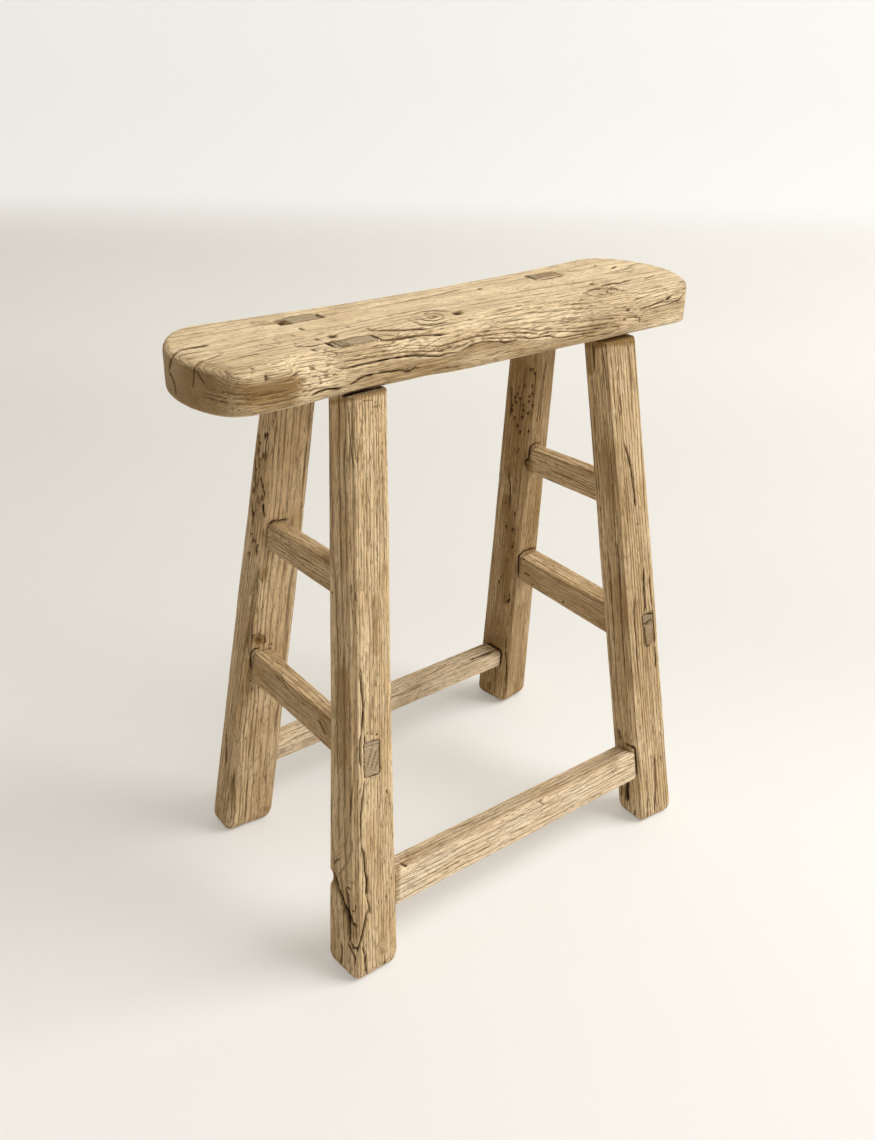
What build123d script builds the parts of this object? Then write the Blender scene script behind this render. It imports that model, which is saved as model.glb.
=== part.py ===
"""Rustic elm work stool: a worn plank seat on four splayed legs, tied by six rails.

Every joint is a mortise and tenon. The frame is in millimetres, with X along the seat,
Y from the front to the back and +Z up. The origin is on the floor, under the middle of the stool.
"""
from build123d import *
import os
from math import cos, radians, sin, sqrt

# Whole stool
stool_height = 500.0
fit_gap = 0.15
overrun = 12.0

# Seat plank, seen from above: round ends, a straight front, a back edge worn hollow
seat_left = -242.1
seat_right = 242.1
seat_front = -65.5
seat_back = 59.5
back_hollow = 12.5
end_round_left = 91.0
end_round_right = 80.0
end_middle_left = -14.4
end_middle_right = -2.0
corner_back_left = 34.0
corner_front_left = 26.0
corner_front_right = 9.0
corner_back_right = 36.0

# Seat plank, seen from the front: it gets thicker to the right
seat_thick_left = 32.5
seat_thick_right = 34.2
seat_top_round = 5.0
seat_bottom_round = 3.5

# Worn front shoulder of the seat: place along the seat, run back from the front, drop from the top
seat_shoulder = (
    (-255.0, 6.0, 5.0),
    (-182.0, 8.0, 6.0),
    (-176.0, 16.0, 22.0),
    (-152.0, 16.0, 20.5),
    (-136.0, 11.5, 17.0),
    (-98.0, 11.5, 14.5),
    (-74.0, 22.0, 16.5),
    (-45.0, 28.0, 19.0),
    (-18.0, 30.0, 13.5),
    (5.0, 30.0, 16.0),
    (45.0, 28.0, 21.5),
    (90.0, 20.0, 25.5),
    (112.0, 14.0, 26.0),
    (150.0, 14.0, 25.0),
    (163.0, 13.0, 17.0),
    (200.0, 14.0, 14.5),
    (255.0, 8.0, 6.0),
)

# Legs: axis on the floor and at the seat's top, twist, gap under the seat
leg_foot = {
    "front_left": (-170.8, -123.9),
    "back_left": (-159.1, 100.1),
    "front_right": (165.0, -124.8),
    "back_right": (188.7, 122.5),
}
leg_head = {
    "front_left": (-116.0, -46.5),
    "back_left": (-119.8, 28.0),
    "front_right": (133.6, -45.5),
    "back_right": (128.3, 29.2),
}
leg_twist_degrees = {"front_left": 1.8, "back_left": -3.5, "front_right": -3.1, "back_right": 7.0}
leg_shoulder_gap = {"front_left": 0.6, "back_left": 0.6, "front_right": 3.2, "back_right": 0.6}

# Leg sections: width and depth at the foot, at the waist and at the head
leg_waist = 250.0
leg_sizes = {
    "front_left": ((46.3, 41.2), (39.4, 35.1), (36.2, 32.2)),
    "back_left": ((50.3, 33.9), (45.4, 30.6), (38.0, 25.6)),
    "front_right": ((44.2, 33.6), (42.5, 32.4), (39.1, 29.8)),
    "back_right": ((39.9, 42.2), (35.1, 37.2), (32.3, 34.1)),
}
leg_round = 7.0
foot_ease = 2.5
foot_ease_height = 4.0

# Seat tenons: one plain mortise per leg, filled by the leg's tenon and a wedge at its left end
tenon_long = {"front_left": 33.5, "back_left": 36.5, "front_right": 33.5, "back_right": 31.0}
tenon_wide = 15.0
tenon_from_axis = {
    "front_left": (-0.9, 0.3),
    "back_left": (-0.5, -3.0),
    "front_right": (-2.5, 2.0),
    "back_right": (0.4, -2.6),
}
seat_wedge_thick = 8.0
seat_wedge_tip = 2.5
seat_wedge_deep = 24.0
seat_wedge_sunk = {"front_left": 0.0, "back_left": 8.0, "front_right": 0.0, "back_right": 0.0}

# Rails: the legs at their two ends, and there the axis height and sideways place off the leg's axis
rail_legs = {
    "upper_end_rail_left": ("front_left", "back_left"),
    "lower_end_rail_left": ("front_left", "back_left"),
    "upper_end_rail_right": ("front_right", "back_right"),
    "lower_end_rail_right": ("front_right", "back_right"),
    "front_rail": ("front_left", "front_right"),
    "rear_rail": ("back_left", "back_right"),
}
rail_level = {
    "upper_end_rail_left": (321.7, 320.0),
    "lower_end_rail_left": (187.5, 190.5),
    "upper_end_rail_right": (324.0, 318.3),
    "lower_end_rail_right": (191.5, 190.0),
    "front_rail": (61.5, 62.6),
    "rear_rail": (74.5, 65.2),
}
rail_aside = {
    "upper_end_rail_left": (-5.5, -7.0),
    "lower_end_rail_left": (-2.5, -7.0),
    "upper_end_rail_right": (1.5, -2.7),
    "lower_end_rail_right": (7.0, 2.6),
    "front_rail": (-2.6, -1.6),
    "rear_rail": (1.0, -1.5),
}
# Rail sections: share of the way between the legs, width, height
rail_sections = {
    "upper_end_rail_left": ((0.0, 17.0, 24.5), (1.0, 17.0, 23.0)),
    "lower_end_rail_left": ((0.0, 18.0, 27.0), (0.72, 18.0, 27.0), (1.0, 19.0, 35.0)),
    "upper_end_rail_right": ((0.0, 14.0, 28.0), (1.0, 15.0, 25.5)),
    "lower_end_rail_right": ((0.0, 20.0, 32.5), (1.0, 24.0, 28.0)),
    "front_rail": ((0.0, 24.0, 30.5), (1.0, 23.5, 29.5)),
    "rear_rail": ((0.0, 22.0, 20.8), (1.0, 23.0, 20.5)),
}
rail_round = 2.0

# Rail tenons at the two legs: width, height and rise over the rail's middle
rail_tenons = {
    "upper_end_rail_left": ((10.0, 17.0, 0.0), (10.0, 17.0, 0.0)),
    "lower_end_rail_left": ((14.5, 25.0, 1.0), (13.0, 22.0, 0.0)),
    "upper_end_rail_right": ((9.5, 17.0, 0.0), (9.5, 17.0, 0.0)),
    "lower_end_rail_right": ((12.5, 21.0, 2.5), (13.0, 20.0, 0.0)),
    "front_rail": ((12.0, 22.0, 0.0), (12.0, 22.0, 0.0)),
    "rear_rail": ((11.0, 16.0, 0.0), (11.0, 15.0, 0.0)),
}
tenon_root = 6.0
blind_past_axis = 4.0

# Rails whose tenon goes right through the front leg, under a wedge
wedged_rails = ("lower_end_rail_left", "lower_end_rail_right")
rail_wedge_thick = {"lower_end_rail_left": 3.4, "lower_end_rail_right": 11.0}
rail_wedge_tip = {"lower_end_rail_left": 1.2, "lower_end_rail_right": 3.0}
rail_wedge_deep = 26.0


def axis_point(leg, height):
    """Point of a leg's axis at a height."""
    share = height / stool_height
    foot, head = leg_foot[leg], leg_head[leg]
    return Vector(
        foot[0] + (head[0] - foot[0]) * share,
        foot[1] + (head[1] - foot[1]) * share,
        height,
    )


def lean(leg):
    """How far a leg's axis moves along X and along Y for each step up."""
    foot, head = leg_foot[leg], leg_head[leg]
    return ((head[0] - foot[0]) / stool_height, (head[1] - foot[1]) / stool_height)


def level_frame(point, twist=0.0):
    """Horizontal plane at a point, turned by a twist in degrees."""
    return Plane(origin=point, z_dir=(0, 0, 1)).rotated((0, 0, twist))


def end_place(across, end, radius, middle):
    """X of a round seat end at a place across the seat."""
    reach = sqrt(radius**2 - (across - middle) ** 2)
    return end + (radius - reach if end < 0 else reach - radius)


def seat_outline():
    """Face of the seat's plan: a hollow back, a straight front, two round ends and four round corners."""
    left = (seat_left, end_round_left, end_middle_left)
    right = (seat_right, end_round_right, end_middle_right)
    back_left, front_left = (
        (end_place(place, *left), place) for place in (seat_back, seat_front)
    )
    back_right, front_right = (
        (end_place(place, *right), place) for place in (seat_back, seat_front)
    )
    middle = (seat_left + seat_right) / 2
    edges = (
        ThreePointArc(back_left, (middle, seat_back - back_hollow), back_right),
        ThreePointArc(back_right, (seat_right, end_middle_right), front_right),
        Line(front_right, front_left),
        ThreePointArc(front_left, (seat_left, end_middle_left), back_left),
    )
    plan = Sketch() + make_face(Wire(edges))
    corners = (
        (back_left, corner_back_left),
        (front_left, corner_front_left),
        (front_right, corner_front_right),
        (back_right, corner_back_right),
    )
    for place, radius in corners:
        vertex = plan.vertices().sort_by_distance((*place, 0))[0]
        plan = fillet(vertex, radius)
    return plan


def thick_at(place):
    """Thickness of the seat at a place along it."""
    share = (place - seat_left) / (seat_right - seat_left)
    return seat_thick_left + (seat_thick_right - seat_thick_left) * share


def seat_side_profile():
    """Solid of the seat's front view: a board that gets thicker to the right."""
    left = seat_left - overrun
    right = seat_right + overrun
    top = stool_height
    points = ((left, top), (right, top), (right, top - thick_at(right)), (left, top - thick_at(left)))
    face = Plane.XZ * make_face(Polyline(*points, close=True))
    return extrude(face, amount=seat_back - seat_front, both=True)


def shoulder_cutter():
    """Solid that takes the worn shoulder off the seat's front top edge."""
    sections = []
    for place, run, drop in seat_shoulder:
        past = overrun / run
        inner = (seat_front + run + run * past, stool_height + drop * past)
        outer = (seat_front - run * past, stool_height - drop - drop * past)
        corner = (outer[0], inner[1])
        frame = Plane(origin=(place, 0, 0), x_dir=(0, 1, 0), z_dir=(1, 0, 0))
        sections.append(frame * make_face(Polyline(inner, outer, corner, close=True)))
    return loft(sections, ruled=True)


def tenon_center(leg, height):
    """Centre of a leg's seat tenon at a height: it runs along the leg's axis."""
    shift = tenon_from_axis[leg]
    return axis_point(leg, height) + Vector(shift[0], shift[1], 0)


def seat_tenon_prism(leg, low, high, grow=0.0):
    """Prism that a seat tenon and its wedge fill together between two heights."""
    faces = []
    for height in (low, high):
        size = (tenon_long[leg] + 2 * grow, tenon_wide + 2 * grow)
        faces.append(level_frame(tenon_center(leg, height)) * Rectangle(*size))
    return loft(faces, ruled=True)


def seat_wedge_prism(leg, low, high, grow=0.0):
    """Tapered prism at the left end of a seat tenon, between two heights."""
    tip_level = stool_height - seat_wedge_deep
    slope = (seat_wedge_thick - seat_wedge_tip) / seat_wedge_deep
    faces = []
    for height in (low, high):
        thick = seat_wedge_tip + (height - tip_level) * slope + grow
        left = Vector((thick - tenon_long[leg]) / 2, 0, 0)
        center = tenon_center(leg, height) + left
        faces.append(level_frame(center) * Rectangle(thick, tenon_wide + 2 * grow))
    return loft(faces, ruled=True)


def build_seat():
    """Seat plank with its worn shoulder and the four mortises."""
    bottom = stool_height - thick_at(seat_right)
    plank = Pos(0, 0, bottom) * extrude(seat_outline(), amount=stool_height - bottom)
    plank = plank & seat_side_profile()
    plank = fillet(plank.faces().sort_by(Axis.Z)[-1].edges(), seat_top_round)
    plank = fillet(plank.faces().sort_by(Axis.Z)[0].edges(), seat_bottom_round)
    plank = plank - shoulder_cutter()
    for leg in leg_foot:
        plank = plank - seat_tenon_prism(leg, bottom - overrun, stool_height + overrun, fit_gap)
    return plank


def build_seat_wedge(leg):
    """Wedge at the left end of a seat tenon, worn flush with the seat or sunk below it."""
    low = stool_height - seat_wedge_deep
    return seat_wedge_prism(leg, low, stool_height - seat_wedge_sunk[leg]) - shoulder_cutter()


def leg_size(leg, height):
    """Width and depth of a leg at a height."""
    foot, waist, head = leg_sizes[leg]
    if height < leg_waist:
        low, high, share = foot, waist, height / leg_waist
    else:
        low, high, share = waist, head, (height - leg_waist) / (stool_height - leg_waist)
    return [start + (end - start) * share for start, end in zip(low, high)]


def leg_section(leg, height, grow=0.0):
    """Rounded rectangle of a leg at a height."""
    wide, deep = leg_size(leg, height)
    frame = level_frame(axis_point(leg, height), leg_twist_degrees[leg])
    return frame * RectangleRounded(wide + 2 * grow, deep + 2 * grow, leg_round + grow)


def leg_post(leg, grow=0.0):
    """Plain splayed post of a leg, from the floor up to the seat's top."""
    heights = (0, leg_waist, stool_height)
    return loft([leg_section(leg, height, grow) for height in heights], ruled=True)


def rail_ends(rail):
    """Centre points of a rail on its two legs' axes, moved sideways off them."""
    sideways = Vector(0, 1, 0) if runs_along_seat(rail) else Vector(1, 0, 0)
    points = []
    for leg, level, aside in zip(rail_legs[rail], rail_level[rail], rail_aside[rail]):
        points.append(axis_point(leg, level) + sideways * aside)
    return points


def runs_along_seat(rail):
    """Whether a rail ties a left leg to a right one."""
    first, second = rail_legs[rail]
    return abs(leg_foot[first][0] - leg_foot[second][0]) > abs(leg_foot[first][1] - leg_foot[second][1])


def rail_frame(rail, point):
    """Plane across a rail, with its local Y up and leaned like the legs that the rail ties."""
    start, end = rail_ends(rail)
    along = (end - start).normalized()
    axis_index = 1 if runs_along_seat(rail) else 0
    tilt = sum(lean(leg)[axis_index] for leg in rail_legs[rail]) / 2
    up = Vector(0, tilt, 1) if runs_along_seat(rail) else Vector(tilt, 0, 1)
    return Plane(origin=point, x_dir=up.cross(along), z_dir=along)


def rail_bar(rail):
    """Rail without tenons, from leg axis to leg axis."""
    start, end = rail_ends(rail)
    faces = []
    for share, wide, tall in rail_sections[rail]:
        frame = rail_frame(rail, start + (end - start) * share)
        faces.append(frame * RectangleRounded(wide, tall, rail_round))
    return loft(faces, ruled=True)


def goes_through(rail, leg):
    """Whether a rail's tenon goes right through a leg."""
    return rail in wedged_rails and leg == rail_legs[rail][0]


def leg_size_along(rail, leg):
    """Size of a leg's section in the direction of a rail, at the rail's height."""
    level = rail_level[rail][rail_legs[rail].index(leg)]
    wide, deep = leg_size(leg, level)
    return wide if runs_along_seat(rail) else deep


def tenon_bar(rail, leg, grow=0.0):
    """Bar of a rail's tenon in a leg: from inside the rail to its blind end, or right out of the leg."""
    start, end = rail_ends(rail)
    along = (end - start).normalized()
    at_start = leg == rail_legs[rail][0]
    wide, tall, rise = rail_tenons[rail][0 if at_start else 1]
    half = leg_size_along(rail, leg) / 2
    inner = half + tenon_root
    outer = half + overrun if goes_through(rail, leg) else blind_past_axis + grow
    origin = start - along * outer if at_start else end - along * inner
    section = Pos(0, rise) * Rectangle(wide + 2 * grow, tall + 2 * grow)
    return extrude(rail_frame(rail, origin) * section, amount=inner + outer)


def front_face_plane(leg):
    """Plane of a leg's front face between the floor and the waist, pointing out of the wood."""
    twist = radians(leg_twist_degrees[leg])
    along = Vector(cos(twist), sin(twist), 0)
    outward = Vector(sin(twist), -cos(twist), 0)
    low, high = (
        axis_point(leg, height) + outward * (leg_size(leg, height)[1] / 2) for height in (0, leg_waist)
    )
    return Plane(origin=low, z_dir=along.cross(high - low))


def trim_to_front(solid, leg):
    """The part of a solid that lies behind a leg's front face."""
    return split(solid, bisect_by=front_face_plane(leg), keep=Keep.BOTTOM)


def rail_wedge_prism(rail, grow=0.0):
    """Wedge over a through tenon, thick at the front face and thin inside, not yet trimmed."""
    start, end = rail_ends(rail)
    along = (end - start).normalized()
    wide, tall, rise = rail_tenons[rail][0]
    front = start - along * (leg_size_along(rail, rail_legs[rail][0]) / 2)
    thick, tip = rail_wedge_thick[rail], rail_wedge_tip[rail]
    slope = (thick - tip) / rail_wedge_deep
    faces = []
    for place in (-overrun, rail_wedge_deep):
        height = thick - slope * place + grow
        center = rise + tall / 2 + fit_gap + height / 2
        shape = Pos(0, center) * Rectangle(wide + 2 * grow, height)
        faces.append(rail_frame(rail, front + along * place) * shape)
    return loft(faces, ruled=True)


def build_rail(rail):
    """Rail with shoulders scribed to its legs and a tenon at each end."""
    body = rail_bar(rail)
    for leg in rail_legs[rail]:
        body = body - leg_post(leg, fit_gap)
    for leg in rail_legs[rail]:
        bar = tenon_bar(rail, leg)
        if goes_through(rail, leg):
            bar = trim_to_front(bar, leg)
        body = body + bar
    return body


def build_rail_wedge(rail):
    """Wedge over a rail's through tenon, flush with the leg's front face."""
    return trim_to_front(rail_wedge_prism(rail), rail_legs[rail][0])


def build_leg(leg):
    """Leg with an eased foot, a shoulder under the seat, its seat tenon and its rail mortises."""
    shoulder = stool_height - thick_at(axis_point(leg, stool_height).X) - leg_shoulder_gap[leg]
    sections = (
        leg_section(leg, 0, -foot_ease),
        leg_section(leg, foot_ease_height),
        leg_section(leg, leg_waist),
        leg_section(leg, shoulder),
    )
    post = loft(sections, ruled=True)
    post = post + seat_tenon_prism(leg, shoulder - overrun, stool_height)
    tip_level = stool_height - seat_wedge_deep - fit_gap
    post = post - seat_wedge_prism(leg, tip_level, stool_height + overrun, fit_gap)
    post = post - shoulder_cutter()
    for rail, legs in rail_legs.items():
        if leg in legs:
            post = post - rail_mortise(rail, leg)
    return post


def rail_mortise(rail, leg):
    """Cut in a leg for a rail's tenon, and for the wedge over it."""
    cut = tenon_bar(rail, leg, fit_gap)
    if goes_through(rail, leg):
        cut = cut + rail_wedge_prism(rail, fit_gap)
    return cut


def write(name, shape):
    """Writes one piece to its own file and prints its size."""
    export_step(shape, f"parts/{name}.step")
    size = shape.bounding_box().size
    print(f"{name}: {size.X:.1f} x {size.Y:.1f} x {size.Z:.1f} mm, {shape.volume / 1000:.1f} cm3")


def main():
    """Builds and writes every piece of the stool."""
    os.makedirs("parts", exist_ok=True)
    write("seat_plank", build_seat())
    for leg in leg_foot:
        write(f"leg_{leg}", build_leg(leg))
        write(f"seat_wedge_{leg}", build_seat_wedge(leg))
    for rail in rail_legs:
        write(rail, build_rail(rail))
    for rail in wedged_rails:
        write(rail.replace("lower_end_rail", "rail_wedge"), build_rail_wedge(rail))


main()
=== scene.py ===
"""Weathered elm work stool: worn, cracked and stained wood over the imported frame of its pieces."""
import logging
import random
from dataclasses import dataclass, field
from enum import Enum

import bpy
import numpy as np
from mathutils import Matrix


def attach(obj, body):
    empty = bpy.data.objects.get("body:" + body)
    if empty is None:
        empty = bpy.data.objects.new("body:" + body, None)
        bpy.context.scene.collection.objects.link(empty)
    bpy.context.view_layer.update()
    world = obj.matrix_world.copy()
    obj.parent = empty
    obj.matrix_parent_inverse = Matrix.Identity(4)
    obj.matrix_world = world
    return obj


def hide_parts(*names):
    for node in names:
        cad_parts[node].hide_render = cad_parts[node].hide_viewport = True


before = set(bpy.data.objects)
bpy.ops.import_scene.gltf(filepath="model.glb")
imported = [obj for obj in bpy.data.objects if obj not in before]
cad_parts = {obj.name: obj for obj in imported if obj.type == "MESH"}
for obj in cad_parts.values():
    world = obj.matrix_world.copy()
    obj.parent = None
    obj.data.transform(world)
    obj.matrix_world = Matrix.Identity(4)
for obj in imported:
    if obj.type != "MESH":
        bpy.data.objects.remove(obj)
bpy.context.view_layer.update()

LOG = logging.getLogger("stool")
MM = 0.001
# Primes and the word length that mix whole numbers into a repeatable pattern
CELL_PRIMES = (73856093, 19349663, 83492791)
SEED_PRIME = 2654435761
MIX_PRIME = 1274126177
WORD = 0xFFFFFFFF
# Whole bumps by which places are moved, so that no cell is below zero
FAR = 300.0
# Steps from a piece's seed to the seeds of its patterns
BENT, YEARS, WEAR, EDGE, JITTER, GROOVE, BROWN, RIDGE, FINE_RIDGE = 1, 2, 3, 4, 5, 6, 8, 9, 10
# Distance in metres at which a node's doubled vertices are merged, and how much coarser a quick mesh is
MERGE, QUICK_COARSER = 0.00001, 1.8
# Wear of the mesh: where a flat side ends as its normal turns, over what span it is a corner, and the
# depth of the seat's ridges in mm
CORNER_FLAT, CORNER_SPAN, RIDGE_DEEP = 0.93, 0.23, 0.55
# Made-up wear of hidden sides in mm: a crack and a wormhole on every so much length, and a wormhole's length
CRACK_EVERY, HOLE_EVERY, HOLE_LONG = 55.0, 80.0, 3.0

Pair = tuple[float, float]
Triple = tuple[float, float, float]
Color = tuple[float, float, float, float]


class Side(Enum):
    """Side of a piece that a crack runs along, as its section axis and direction."""

    ACROSS_HIGH = (0, 1)
    ACROSS_LOW = (0, -1)
    DEEP_HIGH = (1, 1)
    DEEP_LOW = (1, -1)


def soft(share: np.ndarray) -> np.ndarray:
    """Share from 0 to 1, slowed down at both ends."""
    return share * share * (3.0 - 2.0 * share)


def eased(values: np.ndarray, low: float, high: float) -> np.ndarray:
    """Values taken smoothly from 0 at low to 1 at high."""
    return soft(np.clip((values - low) / (high - low), 0.0, 1.0))


def lattice(cells: np.ndarray, seed: int) -> np.ndarray:
    """Repeatable value for each whole-numbered place.

    Args:
        cells: Whole numbers, three to a row.
        seed: Number of the pattern.

    Returns:
        One value from -1 to 1 for each row.
    """
    first, second, third = (cells * np.array(CELL_PRIMES)).T
    mixed = first ^ second ^ third ^ (seed + 7) * SEED_PRIME
    mixed = ((mixed ^ (mixed >> 13)) * MIX_PRIME) & WORD
    mixed = (mixed ^ (mixed >> 16)) & WORD
    return mixed / (WORD // 2) - 1.0


def waves(places: np.ndarray, sizes: Triple, seed: int) -> np.ndarray:
    """Smooth bumps of a size along each axis.

    Args:
        places: Points in mm, three to a row.
        sizes: Length of a bump along each axis, in mm.
        seed: Number of the pattern.

    Returns:
        One value from -1 to 1 for each point.
    """
    scaled = places / np.array(sizes) + FAR
    cells = np.floor(scaled).astype(np.int64)
    share = soft(scaled - cells)
    total = np.zeros(len(places))
    for high, middle, low in np.ndindex(2, 2, 2):
        step = np.array([low, middle, high])
        weight = np.where(step, share, 1.0 - share).prod(axis=1)
        total += weight * lattice(cells + step, seed)
    return total


@dataclass(frozen=True)
class Viewpoint:
    """Where the photograph was taken from, in mm and degrees, with its focal length in pixels.

    Sensor is the height of the film in mm, and farthest is how far the camera sees, in metres.
    """

    place: Triple = (-586.22, -741.10, 744.53)
    azimuth: float = -38.22
    elevation: float = 27.06
    roll: float = 1.07
    focal: float = 1200.66
    width: float = 875.0
    height: float = 1140.0
    sensor: float = 36.0
    farthest: float = 60.0

    def axes(self) -> tuple[np.ndarray, np.ndarray, np.ndarray]:
        """Directions of the picture.

        Returns:
            Unit vectors to the right, up and back out of the picture.
        """
        azimuth, elevation, roll = np.radians([self.azimuth, self.elevation, self.roll])
        level = np.cos(elevation)
        back = np.array([np.sin(azimuth) * level, -np.cos(azimuth) * level, np.sin(elevation)])
        right = np.cross(-back, [0.0, 0.0, 1.0])
        right /= np.linalg.norm(right)
        up = np.cross(right, -back)
        turned = right * np.cos(roll) + up * np.sin(roll)
        return turned, up * np.cos(roll) - right * np.sin(roll), back

    def pixels(self, points: np.ndarray) -> np.ndarray:
        """Where points show in the photograph.

        Args:
            points: Points in mm, three to a row.

        Returns:
            Pixels across and down, two to a row.
        """
        right, up, back = self.axes()
        offset = points - np.array(self.place)
        depth = -(offset @ back)
        across = self.width / 2 + self.focal * (offset @ right) / depth
        down = self.height / 2 - self.focal * (offset @ up) / depth
        return np.stack([across, down], axis=1)

    def facing(self, points: np.ndarray, normals: np.ndarray) -> np.ndarray:
        """How squarely points face the camera.

        Args:
            points: Points in mm, three to a row.
            normals: Their unit normals.

        Returns:
            One value from -1 to 1 for each point.
        """
        sight = np.array(self.place) - points
        sight /= np.linalg.norm(sight, axis=1, keepdims=True)
        return (sight * normals).sum(axis=1)

    def build(self) -> None:
        """Adds the camera and makes it the scene's."""
        bpy.ops.object.camera_add()
        camera = bpy.context.object
        camera.name = "photograph_camera"
        right, up, back = self.axes()
        turn = Matrix(np.stack([right, up, back], axis=1).tolist()).to_4x4()
        camera.matrix_world = Matrix.Translation([value * MM for value in self.place]) @ turn
        camera.data.sensor_fit = "VERTICAL"
        camera.data.sensor_height = self.sensor
        camera.data.lens = self.sensor * self.focal / self.height
        camera.data.clip_end = self.farthest
        bpy.context.scene.camera = camera


VIEW = Viewpoint()


@dataclass
class Surface:
    """What the vertices of one piece hold while wear and marks are cut into them.

    The places are in the piece's own mm, turned holds the normals in its own frame, and spots are the
    vertices' pixels in the photograph. Sink is the depth that each vertex moves in by, in mm.
    """

    places: np.ndarray
    turned: np.ndarray
    spots: np.ndarray
    facing: np.ndarray
    seed: int
    jitter: np.ndarray
    rings: np.ndarray
    sink: np.ndarray
    # Brown of real stains and of painted shade, and the dark of cracks, pits and painted shade lines
    stain_and_shade: np.ndarray
    hollow_and_shade: np.ndarray

    def carve(self, depth: np.ndarray, dark: np.ndarray) -> None:
        """Sinks the vertices by a depth in mm and darkens them: the dark of cracks and pits, and painted
        shade where a mark has no depth.
        """
        self.sink = self.sink + depth
        self.hollow_and_shade = np.maximum(self.hollow_and_shade, dark)

    def brown(self, level: np.ndarray) -> None:
        """Makes the wood at least so brown: real stains, and painted shade where a wash stands for shade."""
        self.stain_and_shade = np.maximum(self.stain_and_shade, level)


@dataclass(frozen=True)
class Mark:
    """Trace of age in the photograph's pixels, on vertices that face the camera by more than around."""

    around: float = field(default=0.06, kw_only=True)

    def seen(self, surface: Surface, level: np.ndarray) -> np.ndarray:
        """Level where the vertices face the camera, and 0 elsewhere."""
        return np.where(surface.facing > self.around, level, 0.0)

    def work(self, surface: Surface) -> None:
        """Changes the surface, in each kind's own way."""
        raise NotImplementedError


@dataclass(frozen=True)
class Line(Mark):
    """Mark along a line of points, with its half width."""

    path: tuple[Pair, ...]
    wide: float

    def reach(self, spots: np.ndarray) -> tuple[np.ndarray, np.ndarray]:
        """Where each spot lies by the line.

        Args:
            spots: Pixels, two to a row.

        Returns:
            The distance from the line, and the share of the way along it.
        """
        points = np.array(self.path, dtype=float)
        lengths = np.linalg.norm(points[1:] - points[:-1], axis=1)
        starts = np.concatenate([[0.0], np.cumsum(lengths)])
        nearest = np.full(len(spots), np.inf)
        along = np.zeros(len(spots))
        for start, end, length, before in zip(points[:-1], points[1:], lengths, starts[:-1]):
            share = np.clip((spots - start) @ (end - start) / length**2, 0.0, 1.0)
            gap = np.linalg.norm(spots - start - share[:, None] * (end - start), axis=1)
            closer = gap < nearest
            nearest = np.where(closer, gap, nearest)
            along = np.where(closer, before + share * length, along)
        return nearest, along / starts[-1]


@dataclass(frozen=True)
class Crack(Line):
    """Open crack or deep grain line, with its depth in mm and how dark it is. With no depth it is a painted
    shade line.
    """

    deep: float
    dark: float
    # How fast both ends thin and the thinnest they get, where the soft side ends, and how dark an end is
    # and by how much the middle is darker
    ENDS, THINNEST, SOFT, END_DARK, DARKER = 7.0, 0.06, 1.3, 0.55, 0.45

    def work(self, surface: Surface) -> None:
        """Cuts the crack, thinner and paler towards both ends.

        Args:
            surface: The piece's vertices, which are changed.
        """
        gap, share = self.reach(surface.spots)
        taper = np.sqrt(np.clip(np.minimum(share, 1.0 - share) * self.ENDS, self.THINNEST, 1.0))
        level = np.clip(self.SOFT - (gap + surface.jitter) / (self.wide * taper), 0.0, 1.0)
        level = self.seen(surface, level)
        surface.carve(level * self.deep * taper, level * self.dark * (self.END_DARK + self.DARKER * taper))


@dataclass(frozen=True)
class Wash(Line):
    """Brown strip with no depth, that fades out between two shares of its half width. Most are stains; some
    are painted shade in gaps, at joints and on a rounded rim.
    """

    dark: float
    FADE = (0.3, 1.2)

    def work(self, surface: Surface) -> None:
        """Browns the strip, most strongly near its line."""
        level = 1.0 - eased(self.reach(surface.spots)[0] / self.wide, *self.FADE)
        surface.brown(self.seen(surface, self.dark * level))


@dataclass(frozen=True)
class Spot(Mark):
    """Round mark, with its middle and its half sizes across and down."""

    place: Pair
    half: Pair

    def reach(self, spots: np.ndarray) -> np.ndarray:
        """Distance of each spot from the middle, as a share of the half sizes."""
        return np.linalg.norm((spots - np.array(self.place)) / np.array(self.half), axis=1)


@dataclass(frozen=True)
class Pit(Spot):
    """Wormhole, chip or small knot hole, with its depth in mm and how dark it is.

    Its side slopes between two shares of its half size.
    """

    deep: float
    dark: float = 0.9
    SLOPE = (0.5, 1.15)

    def work(self, surface: Surface) -> None:
        """Sinks the pit, with a flat bottom over half its size."""
        level = self.seen(surface, 1.0 - eased(self.reach(surface.spots), *self.SLOPE))
        surface.carve(level * self.deep, level * self.dark)


@dataclass(frozen=True)
class Stain(Spot):
    """Brown patch with no depth, that fades out between two shares of its half size."""

    dark: float
    FADE = (0.2, 1.25)

    def work(self, surface: Surface) -> None:
        """Browns the patch, most strongly near its middle."""
        level = 1.0 - eased(self.reach(surface.spots), *self.FADE)
        surface.brown(self.seen(surface, self.dark * level))


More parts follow.
